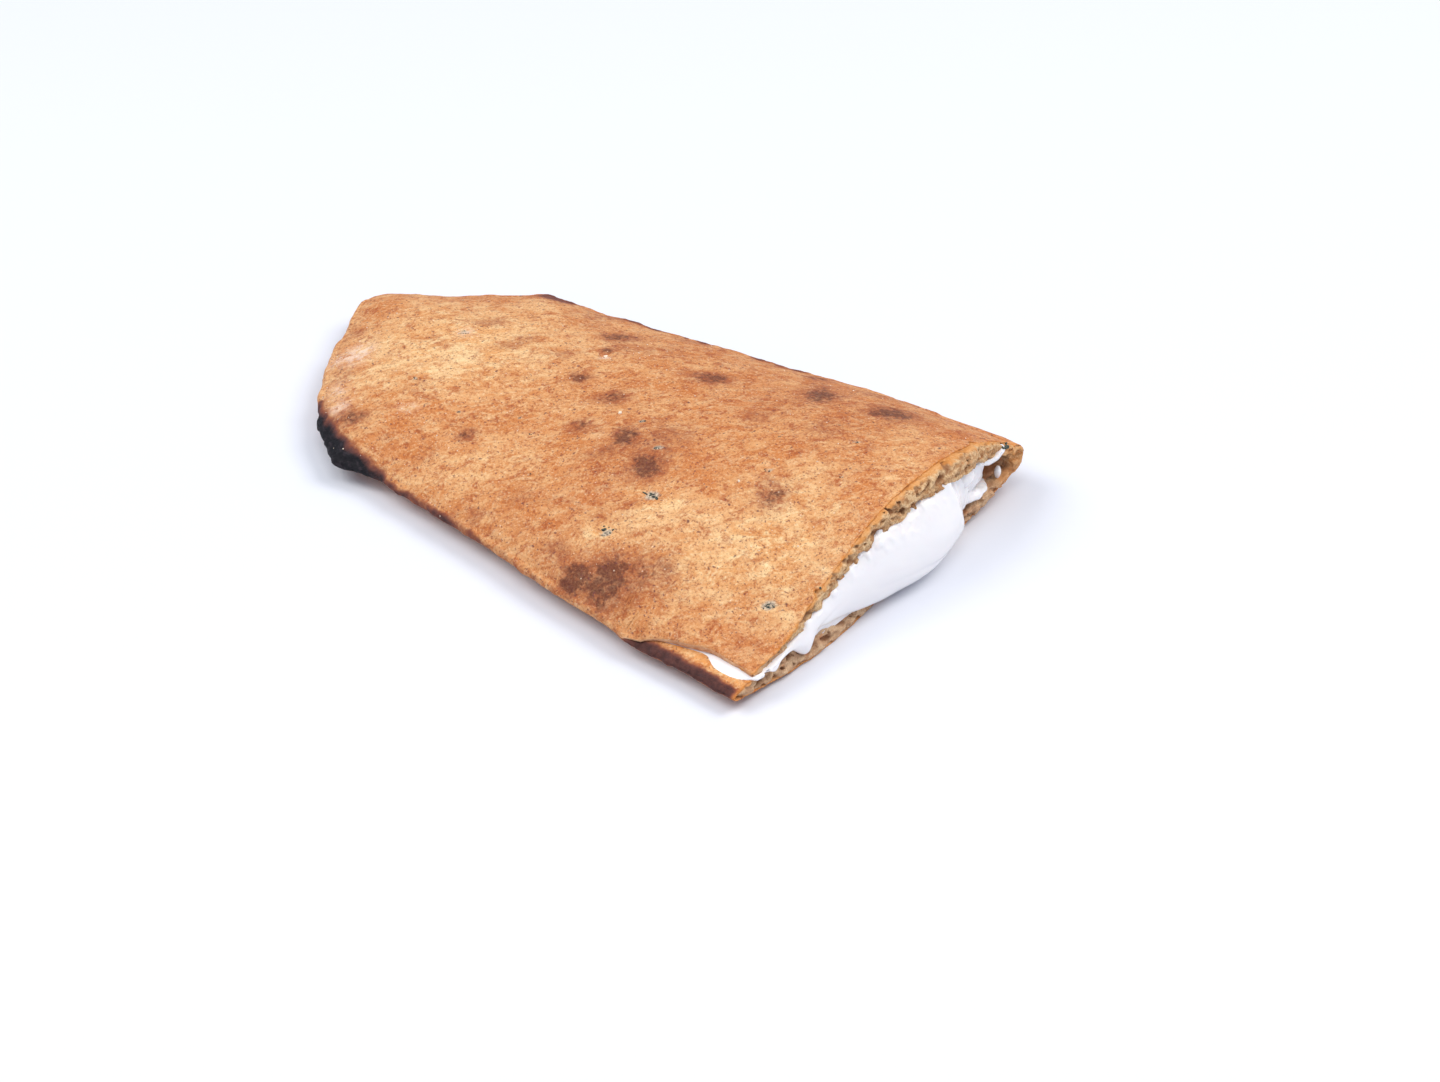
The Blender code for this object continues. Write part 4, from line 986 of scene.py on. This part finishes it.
# ---- materials ----------------------------------------------------------------------------
class Nodes:
    """A material's shader graph, made in short steps."""

    def __init__(self, name):
        self.material = bpy.data.materials.new(name)
        self.material.use_nodes = True
        self.tree = self.material.node_tree
        self.tree.nodes.clear()
        self.out = self.add("ShaderNodeOutputMaterial")
        self.shader = self.add("ShaderNodeBsdfPrincipled")
        self.link(self.shader.outputs[0], self.out.inputs[0])

    def add(self, kind, **settings):
        node = self.tree.nodes.new(kind)
        for key, value in settings.items():
            setattr(node, key, value)
        return node

    def link(self, a, b):
        self.tree.links.new(a, b)

    def put(self, socket, value):
        if hasattr(value, "is_output"):
            self.link(value, socket)
        else:
            socket.default_value = value

    def place(self, scale=(1, 1, 1), turn=0.0, shift=(0, 0, 0)):
        """Object coordinates in millimetres, turned about the vertical and scaled."""
        if not hasattr(self, "object"):
            self.object = self.add("ShaderNodeTexCoord").outputs["Object"]
        first = self.add("ShaderNodeMapping", vector_type="POINT")
        self.link(self.object, first.inputs["Vector"])
        first.inputs["Rotation"].default_value = (0, 0, math.radians(-turn))
        first.inputs["Scale"].default_value = (1000, 1000, 1000)
        second = self.add("ShaderNodeMapping", vector_type="POINT")
        self.link(first.outputs[0], second.inputs["Vector"])
        second.inputs["Scale"].default_value = scale
        second.inputs["Location"].default_value = shift
        return second.outputs[0]

    def noise(self, where, size, detail=4.0, rough=0.55, distortion=0.0):
        n = self.add("ShaderNodeTexNoise")
        self.link(where, n.inputs["Vector"])
        n.inputs["Scale"].default_value = 1.0 / size
        n.inputs["Detail"].default_value = detail
        n.inputs["Roughness"].default_value = rough
        n.inputs["Distortion"].default_value = distortion
        return n.outputs["Fac"]

    def cells(self, where, size, feature="F1", randomness=1.0):
        n = self.add("ShaderNodeTexVoronoi", feature=feature)
        self.link(where, n.inputs["Vector"])
        n.inputs["Scale"].default_value = 1.0 / size
        n.inputs["Randomness"].default_value = randomness
        return n.outputs["Distance"], n.outputs["Color"]

    def math(self, how, a, b=0.0, clamp=False):
        n = self.add("ShaderNodeMath", operation=how, use_clamp=clamp)
        self.put(n.inputs[0], a)
        self.put(n.inputs[1], b)
        return n.outputs[0]

    def steps(self, value, low, high, a=0.0, b=1.0):
        """value taken from low..high to a..b, smoothly and within those limits."""
        n = self.add("ShaderNodeMapRange", interpolation_type="SMOOTHSTEP", clamp=True)
        self.put(n.inputs["Value"], value)
        for key, v in (("From Min", low), ("From Max", high), ("To Min", a), ("To Max", b)):
            self.put(n.inputs[key], v)
        return n.outputs[0]

    def mix(self, amount, a, b, how="MIX"):
        n = self.add("ShaderNodeMix", data_type="RGBA", blend_type=how)
        n.clamp_factor = True
        self.put(n.inputs[0], amount)
        for socket, v in ((n.inputs[6], a), (n.inputs[7], b)):
            self.put(socket, v if hasattr(v, "is_output") else (*v, 1.0))
        return n.outputs[2]

    def value(self, name):
        return self.add("ShaderNodeAttribute", attribute_name=name).outputs["Fac"]

    def red(self, colour):
        n = self.add("ShaderNodeSeparateColor")
        self.link(colour, n.inputs[0])
        return n.outputs[0]

    def bump(self, height, depth, strength=1.0, before=None):
        n = self.add("ShaderNodeBump")
        n.inputs["Strength"].default_value = strength
        n.inputs["Distance"].default_value = depth * 0.001
        self.link(height, n.inputs["Height"])
        if before is not None:
            self.link(before, n.inputs["Normal"])
        return n.outputs[0]

    def finish(self, colour, roughness, normal=None, specular=0.3):
        self.put(self.shader.inputs["Base Color"], colour)
        self.put(self.shader.inputs["Roughness"], roughness)
        self.shader.inputs["Specular IOR Level"].default_value = specular
        if normal is not None:
            self.link(normal, self.shader.inputs["Normal"])
        return self.material


def srgb(r, g, b):
    return tuple((c / 255 / 12.92) if c / 255 <= 0.04045 else ((c / 255 + 0.055) / 1.055) ** 2.4 for c in (r, g, b))


def crust_material():
    m = Nodes("crust_look")
    streak = m.place((0.52, 1.0, 0.8), turn=39.0)
    plain = m.place()
    shifted = m.place(shift=(13.1, 7.7, 3.3))
    brown, char, flour, pit = m.value("brown"), m.value("char"), m.value("flour"), m.value("pit")
    lip, bare, pale_and_lit = m.value("lip"), m.value("bare"), m.value("pale_and_lit")
    wavy = m.add("ShaderNodeTexNoise", normalize=False)
    m.link(plain, wavy.inputs["Vector"])
    wavy.inputs["Scale"].default_value = 1 / 1.4
    wavy.inputs["Detail"].default_value = 2.0
    half = m.math("SUBTRACT", m.noise(shifted, 2.0, 5.0, 0.72, 0.4), 0.5)
    # golden ground, with cream streaks along the rolling direction and deeper orange between them
    broad = m.noise(streak, 7.0, 6.0, 0.66, 0.8)
    fine = m.noise(streak, 2.4, 6.0, 0.70, 0.9)
    blotch = m.noise(plain, 11.0, 5.0, 0.62, 0.5)
    mottle = m.noise(shifted, 3.0, 6.0, 0.74, 0.6)
    grain = m.noise(plain, 0.70, 3.0, 0.75, 0.0)
    pepper = m.noise(shifted, 0.42, 2.0, 0.8)
    # pale_and_lit: paler crust, and near the cut at the front a painted lit patch
    ground = m.mix(pale_and_lit, srgb(216, 140, 80), srgb(235, 171, 108))
    light = m.mix(pale_and_lit, srgb(236, 177, 116), srgb(250, 210, 156))
    colour = m.mix(m.steps(broad, 0.34, 0.68), ground, light)
    colour = m.mix(m.math("MULTIPLY", m.steps(blotch, 0.46, 0.66), 0.60), colour, srgb(212, 128, 60))
    colour = m.mix(m.math("MULTIPLY", m.steps(mottle, 0.51, 0.35), m.math("SUBTRACT", 0.95, m.math("MULTIPLY", pale_and_lit, 0.35))), colour, srgb(184, 100, 52))
    colour = m.mix(m.math("MULTIPLY", m.steps(fine, 0.46, 0.68), m.math("ADD", 0.46, m.math("MULTIPLY", pale_and_lit, 0.36))), colour, srgb(254, 220, 166))
    colour = m.mix(m.math("MULTIPLY", m.steps(fine, 0.46, 0.30), 0.50), colour, srgb(192, 110, 56))
    colour = m.mix(m.math("MULTIPLY", m.steps(grain, 0.48, 0.28), 0.85), colour, srgb(146, 80, 56))
    colour = m.mix(m.math("MULTIPLY", m.steps(grain, 0.53, 0.69), 0.50), colour, srgb(255, 230, 188))
    colour = m.mix(m.math("MULTIPLY", m.steps(pepper, 0.38, 0.24), 0.75), colour, srgb(120, 68, 60))
    colour = m.mix(1.0, colour, m.mix(pale_and_lit, (0.87, 0.79, 0.76), (0.97, 1.0, 1.0)), "MULTIPLY")
    # browned clouds, broken up at several sizes
    patchy = m.steps(m.noise(shifted, 1.7, 4.0, 0.7, 0.5), 0.34, 0.66, 0.62, 1.30)
    brown = m.math("MULTIPLY", brown, patchy)
    ragged = m.math("ADD", brown, m.math("MULTIPLY", half, 1.0))
    cloud = m.math("MULTIPLY", m.steps(ragged, 0.06, 0.86), m.steps(grain, 0.18, 0.62, 1.0, 0.66))
    colour = m.mix(m.math("MULTIPLY", cloud, 0.88), colour, srgb(156, 84, 54))
    deep = m.math("MULTIPLY", m.steps(m.math("ADD", brown, m.math("MULTIPLY", half, 1.4)), 0.64, 1.40), m.steps(grain, 0.18, 0.64, 1.0, 0.66))
    colour = m.mix(m.math("MULTIPLY", deep, 0.92), colour, srgb(80, 42, 34))
    # bran: soft purple-brown specks of several sizes, crowded in some places
    crowd = m.noise(shifted, 7.0, 3.0, 0.6)
    bent = m.add("ShaderNodeVectorMath", operation="MULTIPLY_ADD")
    m.link(wavy.outputs["Color"], bent.inputs[0])
    bent.inputs[1].default_value = (0.55, 0.55, 0.55)
    m.link(plain, bent.inputs[2])
    for size, radius, share, amount, tone in ((1.25, 0.28, 0.56, 0.78, (116, 64, 62)), (2.6, 0.18, 0.46, 0.80, (90, 52, 58)), (0.8, 0.28, 0.66, 0.62, (136, 76, 60))):
        shift = m.add("ShaderNodeVectorMath", operation="ADD")
        m.link(bent.outputs[0], shift.inputs[0])
        shift.inputs[1].default_value = (size * 17.0, size * 5.0, size * 29.0)
        far, tint = m.cells(shift.outputs[0], size)
        pick = m.red(tint)
        chosen = m.steps(m.math("ADD", pick, m.steps(crowd, 0.35, 0.65, -0.22, 0.22)), 1 - share, 1 - share + 0.10)
        dot = m.math("MULTIPLY", m.steps(far, radius, radius * 0.35), chosen)
        colour = m.mix(m.math("MULTIPLY", dot, amount), colour, srgb(*tone))
    # sparse near-white specks: part flour grains, part painted highlights (glints) put into the colour
    far, tint = m.cells(m.place(shift=(3.7, 21.0, 9.0)), 2.2)
    flour_specks_and_glints = m.math("MULTIPLY", m.steps(far, 0.12, 0.06), m.steps(m.red(tint), 0.62, 0.68))
    colour = m.mix(m.math("MULTIPLY", flour_specks_and_glints, 0.55), colour, srgb(255, 228, 200))
    # floury places and greyish-green pits round the herbs
    dust = m.math("MULTIPLY", flour, m.steps(m.noise(streak, 1.3, 4.0, 0.7), 0.36, 0.60))
    colour = m.mix(m.math("MULTIPLY", dust, 0.88), colour, srgb(244, 218, 200))
    moss = m.steps(m.math("ADD", pit, m.math("MULTIPLY", half, 0.9)), 0.30, 0.80)
    skin_tone = m.mix(m.steps(grain, 0.40, 0.62), srgb(150, 140, 126), srgb(218, 204, 180))
    colour = m.mix(m.math("MULTIPLY", moss, 0.85), colour, skin_tone)
    # burnt places: brown first, then nearly black
    burnt = m.math("ADD", char, m.math("MULTIPLY", half, 0.50))
    colour = m.mix(m.math("MULTIPLY", m.steps(burnt, 0.04, 0.50), 0.9), colour, srgb(138, 72, 50))
    black = m.mix(m.steps(m.noise(plain, 1.6, 4.0, 0.65), 0.46, 0.70), srgb(18, 16, 22), srgb(50, 42, 48))
    colour = m.mix(m.math("MULTIPLY", m.steps(burnt, 0.30, 0.66), 0.8), colour, srgb(88, 54, 52))
    colour = m.mix(m.steps(burnt, 0.52, 0.95), colour, black)
    # the edge of the crust at the cut, bright orange, and bare crumb beyond it
    rind = m.math("MULTIPLY", lip, m.steps(m.noise(plain, 1.5, 4.0, 0.65), 0.36, 0.60))
    colour = m.mix(m.math("MULTIPLY", rind, m.math("SUBTRACT", 0.72, m.math("MULTIPLY", char, 0.72), True)), colour, srgb(232, 146, 58))
    wall = m.mix(m.steps(m.noise(plain, 2.4, 4.0, 0.65), 0.36, 0.66), srgb(200, 140, 100), srgb(230, 184, 142))
    colour = m.mix(m.steps(bare, 0.15, 0.75), colour, wall)
    rough = m.steps(m.noise(plain, 1.0, 2.0, 0.5), 0.3, 0.7, 0.60, 0.82)
    height = m.math("ADD", grain, m.math("MULTIPLY", fine, 1.6))
    height = m.math("ADD", height, m.math("MULTIPLY", mottle, 0.8))
    normal = m.bump(height, 0.26, 0.9)
    return m.finish(colour, rough, normal, 0.24)


def crumb_material():
    m = Nodes("crumb_look")
    plain = m.place()
    strands = m.place((1.0, 0.5, 1.0))
    deep, rind = m.value("deep"), m.value("rind")
    tone = m.noise(strands, 1.6, 5.0, 0.68, 0.5)
    small = m.noise(m.place(shift=(5, 9, 2)), 0.5, 3.0, 0.7)
    colour = m.mix(m.steps(tone, 0.38, 0.62), srgb(178, 128, 84), srgb(228, 192, 146))
    colour = m.mix(m.math("MULTIPLY", m.steps(small, 0.5, 0.30), 0.70), colour, srgb(142, 94, 60))
    colour = m.mix(m.math("MULTIPLY", m.steps(small, 0.54, 0.70), 0.45), colour, srgb(250, 222, 180))
    low = m.add("ShaderNodeSeparateXYZ")
    m.link(m.object, low.inputs[0])
    height = m.math("MULTIPLY", low.outputs[2], 1000.0)
    colour = m.mix(m.math("MULTIPLY", m.steps(height, 10.0, 6.5), 0.42), colour, srgb(202, 164, 136))
    far, tint = m.cells(m.place(shift=(1, 2, 3)), 1.6)
    orange = m.math("MULTIPLY", m.steps(far, 0.5, 0.2), m.steps(m.red(tint), 0.80, 0.86))
    colour = m.mix(m.math("MULTIPLY", orange, 0.35), colour, srgb(206, 120, 56))
    # painted shade: the crumb is darkened in its recesses, cavities and pores
    colour = m.mix(m.math("MULTIPLY", m.steps(deep, 0.22, 0.95), 0.84), colour, srgb(138, 88, 54))
    colour = m.mix(m.math("MULTIPLY", rind, 0.62), colour, srgb(222, 146, 70))
    normal = m.bump(m.math("ADD", small, tone), 0.25, 0.9)
    return m.finish(colour, 0.8, normal, 0.2)


def cream_material():
    m = Nodes("labneh_look")
    plain = m.place((1.0, 0.6, 1.0))
    colour = m.mix(m.noise(plain, 6.0, 2.0, 0.5), srgb(252, 247, 245), srgb(248, 242, 242))
    swirl = m.noise(plain, 2.4, 3.0, 0.5, 0.6)
    normal = m.bump(swirl, 0.08, 0.3)
    made = m.finish(colour, 0.24, normal, 0.5)
    m.shader.inputs["Subsurface Weight"].default_value = 0.25
    m.shader.inputs["Subsurface Radius"].default_value = (1.0, 0.8, 0.7)
    m.shader.inputs["Subsurface Scale"].default_value = 0.0015
    return made


def plain_material(name, colours, roughness, size=0.5, depth=0.08):
    m = Nodes(name)
    where = m.place()
    n = m.noise(where, size, 3.0, 0.6)
    colour = m.mix(m.steps(n, 0.35, 0.65), colours[0], colours[1])
    return m.finish(colour, roughness, m.bump(n, depth, 0.7), 0.35)


# ---- small pieces -------------------------------------------------------------------------
def lump(rng, size, around=9, rings=6):
    """One small irregular lump: points and quads."""
    points, rows = [], []
    phase = rng.random(6) * 6.28
    for i in range(rings + 1):
        a = math.pi * i / rings
        row = []
        for k in range(around):
            b = 2 * math.pi * k / around
            d = np.array([math.sin(a) * math.cos(b), math.sin(a) * math.sin(b), math.cos(a)])
            w = 1 + 0.22 * math.sin(2 * b + phase[0]) + 0.16 * math.sin(3 * b + phase[1] + a) + 0.12 * math.sin(4 * a + phase[2] + b)
            row.append(len(points))
            points.append(d * w * np.array(size))
        rows.append(row)
    faces = []
    for r0, r1 in zip(rows, rows[1:]):
        for k in range(around):
            faces.append((r0[k], r1[k], r1[(k + 1) % around], r0[(k + 1) % around]))
    return np.array(points), np.array(faces)


def ground(surface, x, y):
    places, normals, up = surface
    i = ((places[up, 0] - x) ** 2 + (places[up, 1] - y) ** 2).argmin()
    return places[up][i], normals[up][i]


def laid(points, place, normal, spin, sink):
    """Points turned so that their z follows the surface there."""
    n = normal / np.linalg.norm(normal)
    a = np.cross([0, 0, 1.0], n)
    a = np.array([1.0, 0, 0]) if np.linalg.norm(a) < 1e-6 else a / np.linalg.norm(a)
    b = np.cross(n, a)
    c, s = math.cos(spin), math.sin(spin)
    u, v = a * c + b * s, -a * s + b * c
    return place + points[:, :1] * u + points[:, 1:2] * v + (points[:, 2:] + sink) * n


def gather(parts):
    points, faces, start = [], [], 0
    for p, f in parts:
        points.append(p)
        faces.append(f + start)
        start += len(p)
    points, faces, _ = weld(np.concatenate(points), np.concatenate(faces), 5)
    return points, faces


def surface_of(obj):
    n = len(obj.data.vertices)
    co = np.empty(n * 3, np.float32)
    obj.data.vertices.foreach_get("co", co)
    normal = np.empty(n * 3, np.float32)
    obj.data.vertex_normals.foreach_get("vector", normal)
    places = co.reshape(-1, 3).astype(float) * 1000 - SHIFT
    normals = normal.reshape(-1, 3).astype(float)
    bare = np.empty(n, np.float32)
    obj.data.attributes["bare"].data.foreach_get("value", bare)
    return places, normals, (normals[:, 2] > 0.25) & (bare < 0.1)


def first_met(objects, place, way):
    """The first point of the pieces along a line that starts ahead of them."""
    best = None
    for obj in objects:
        co = np.empty(len(obj.data.vertices) * 3, np.float32)
        obj.data.vertices.foreach_get("co", co)
        d = co.reshape(-1, 3).astype(float) * 1000 - SHIFT - place
        along = d @ way
        near = (np.linalg.norm(d - along[:, None] * way, axis=1) < 0.3) & (along > -3.0) & (along < 12.0)
        if near.any() and (best is None or along[near].min() < best):
            best = along[near].min()
    return place if best is None else place + best * way


def make_herbs(surface, look, at_cut):
    rng = np.random.default_rng(5)
    parts = []
    for x, y, long, wide, bare in HERBS:
        for k in range(2 + int(4 * bare * long)):
            along, across = (rng.random() - 0.5) * 1.3 * long, (rng.random() - 0.5) * 1.1 * wide
            px, py = x + along * 0.778 - across * 0.628, y + along * 0.628 + across * 0.778
            place, normal = ground(surface, px, py)
            place = place + np.array([px - place[0], py - place[1], 0]) * 0.8
            size = (0.16 + 0.34 * rng.random() * bare * long / 1.5, 0.10 + 0.13 * rng.random(), 0.05 + 0.04 * rng.random())
            p, f = lump(rng, size)
            parts.append((laid(p, place, normal, 0.68 + (rng.random() - 0.5) * 1.8, 0.02), f))
    for x, y, long, wide, high, turn in HERB_PIECES:
        place, normal = ground(surface, x, y)
        place = place + np.array([x - place[0], y - place[1], 0]) * 0.8
        p, f = lump(rng, (long, wide, high), 12, 8)
        parts.append((laid(p, place, normal, turn, 0.03), f))
    for place, size in (((0.95, 47.7, 17.6), (0.75, 0.5, 0.45)), ((0.85, 48.6, 17.1), (0.5, 0.55, 0.5)), ((0.7, 46.6, 17.9), (0.55, 0.3, 0.25)), ((0.6, 48.3, 18.2), (0.35, 0.4, 0.3)), ((0.25, -27.6, 17.9), (0.35, 0.3, 0.25))):
        p, f = lump(rng, size)
        parts.append((p + first_met(at_cut, np.array(place), np.array([-0.505, 0.625, -0.595])), f))
    points, faces = gather(parts)
    return piece("herb_flecks", points, faces, "bread", look)


def make_grains(surface, look):
    rng = np.random.default_rng(8)
    spots = [(-81.7, -3.4, 0.55), (-37.1, -11.6, 0.38), (-12.0, -20.0, 0.22)]
    for _ in range(150):
        spots.append((-175 + 172 * rng.random(), -54 + 104 * rng.random(), 0.09 + 0.13 * rng.random() ** 2))
    for s in FLOUR:
        for _ in range(14):
            spots.append((s[0] + rng.normal() * s[2] * 0.8, s[1] + rng.normal() * s[3] * 0.8, 0.08 + 0.10 * rng.random()))
    parts = []
    for x, y, size in spots:
        place, normal = ground(surface, x, y)
        if math.hypot(place[0] - x, place[1] - y) > 1.2:
            continue
        p, f = lump(rng, (size, size * (0.7 + 0.3 * rng.random()), size * 0.7), 7, 5)
        parts.append((laid(p, place, normal, rng.random() * 6, size * 0.25), f))
    place, normal = ground(surface, CRATER[0] - 0.2, CRATER[1] + 0.3)
    p, f = lump(rng, (0.8, 0.4, 0.12))
    parts.append((laid(p, place, normal, 0.9, 0.1), f))
    points, faces = gather(parts)
    return piece("flour_grains", points, faces, "bread", look)


# ---- the scene ----------------------------------------------------------------------------
crust = make_crust(crust_material())
crumb = make_crumb(crumb_material())
cream = make_cream(cream_material())
surface = surface_of(crust)
make_herbs(surface, plain_material("herb_look", (srgb(34, 38, 34), srgb(92, 98, 84)), 0.6, 0.35), (crust, crumb, cream))
make_grains(surface, plain_material("flour_look", (srgb(250, 234, 216), srgb(240, 214, 186)), 0.8, 0.3))

bpy.ops.mesh.primitive_plane_add(size=6.0, location=(0, 0, -0.0001))
floor = bpy.context.active_object
floor.name = "floor"
paper = bpy.data.materials.new("floor_look")
paper.use_nodes = True
shader = paper.node_tree.nodes["Principled BSDF"]
shader.inputs["Base Color"].default_value = (0.77, 0.785, 0.84, 1)
shader.inputs["Roughness"].default_value = 0.9
shader.inputs["Specular IOR Level"].default_value = 0.1
floor.data.materials.append(paper)

scene = bpy.context.scene
world = bpy.data.worlds.new("studio")
world.use_nodes = True
background = world.node_tree.nodes["Background"]
background.inputs["Color"].default_value = (0.66, 0.78, 1.0, 1)
background.inputs["Strength"].default_value = 0.45
scene.world = world


def softbox(name, place, size, power, colour, aim=(-0.02, 0.0, 0.01)):
    light = bpy.data.lights.new(name, "AREA")
    light.shape = "RECTANGLE"
    light.size, light.size_y = size
    light.energy = power
    light.color = colour
    obj = bpy.data.objects.new(name, light)
    scene.collection.objects.link(obj)
    d = np.array(aim) - np.array(place)
    from mathutils import Vector
    obj.location = place
    obj.rotation_euler = Vector(d).to_track_quat("-Z", "Y").to_euler()
    return obj


softbox("left", (-0.75, -0.70, 1.30), (0.9, 0.9), 14.0, (1.0, 0.97, 0.925))
softbox("right", (0.70, 0.75, 1.30), (0.9, 0.9), 14.5, (1.0, 0.97, 0.925))
softbox("above", (0.28, -0.26, 1.50), (0.8, 0.8), 5.8, (1.0, 0.97, 0.925))
softbox("front", (0.62, -0.72, 0.55), (0.7, 0.5), 0.75, (1.0, 0.97, 0.94))

azimuth, elevation, distance = math.radians(38.93), math.radians(36.5), 0.6943
forward = np.array([-math.sin(azimuth) * math.cos(elevation), math.cos(azimuth) * math.cos(elevation), -math.sin(elevation)])
target = (np.array([-44.63, -9.15, 0.0]) + SHIFT) * 0.001
lens = bpy.data.cameras.new("camera")
lens.lens, lens.sensor_width, lens.sensor_fit = 70.0, 36.0, "HORIZONTAL"
lens.clip_start, lens.clip_end = 0.05, 20.0
camera = bpy.data.objects.new("camera", lens)
scene.collection.objects.link(camera)
camera.location = target - forward * distance
camera.rotation_euler = (math.pi / 2 - elevation, 0.0, azimuth)
scene.camera = camera

scene.view_settings.view_transform = "Standard"
scene.view_settings.look = "None"
scene.view_settings.exposure = 0.0
scene.view_settings.gamma = 1.0
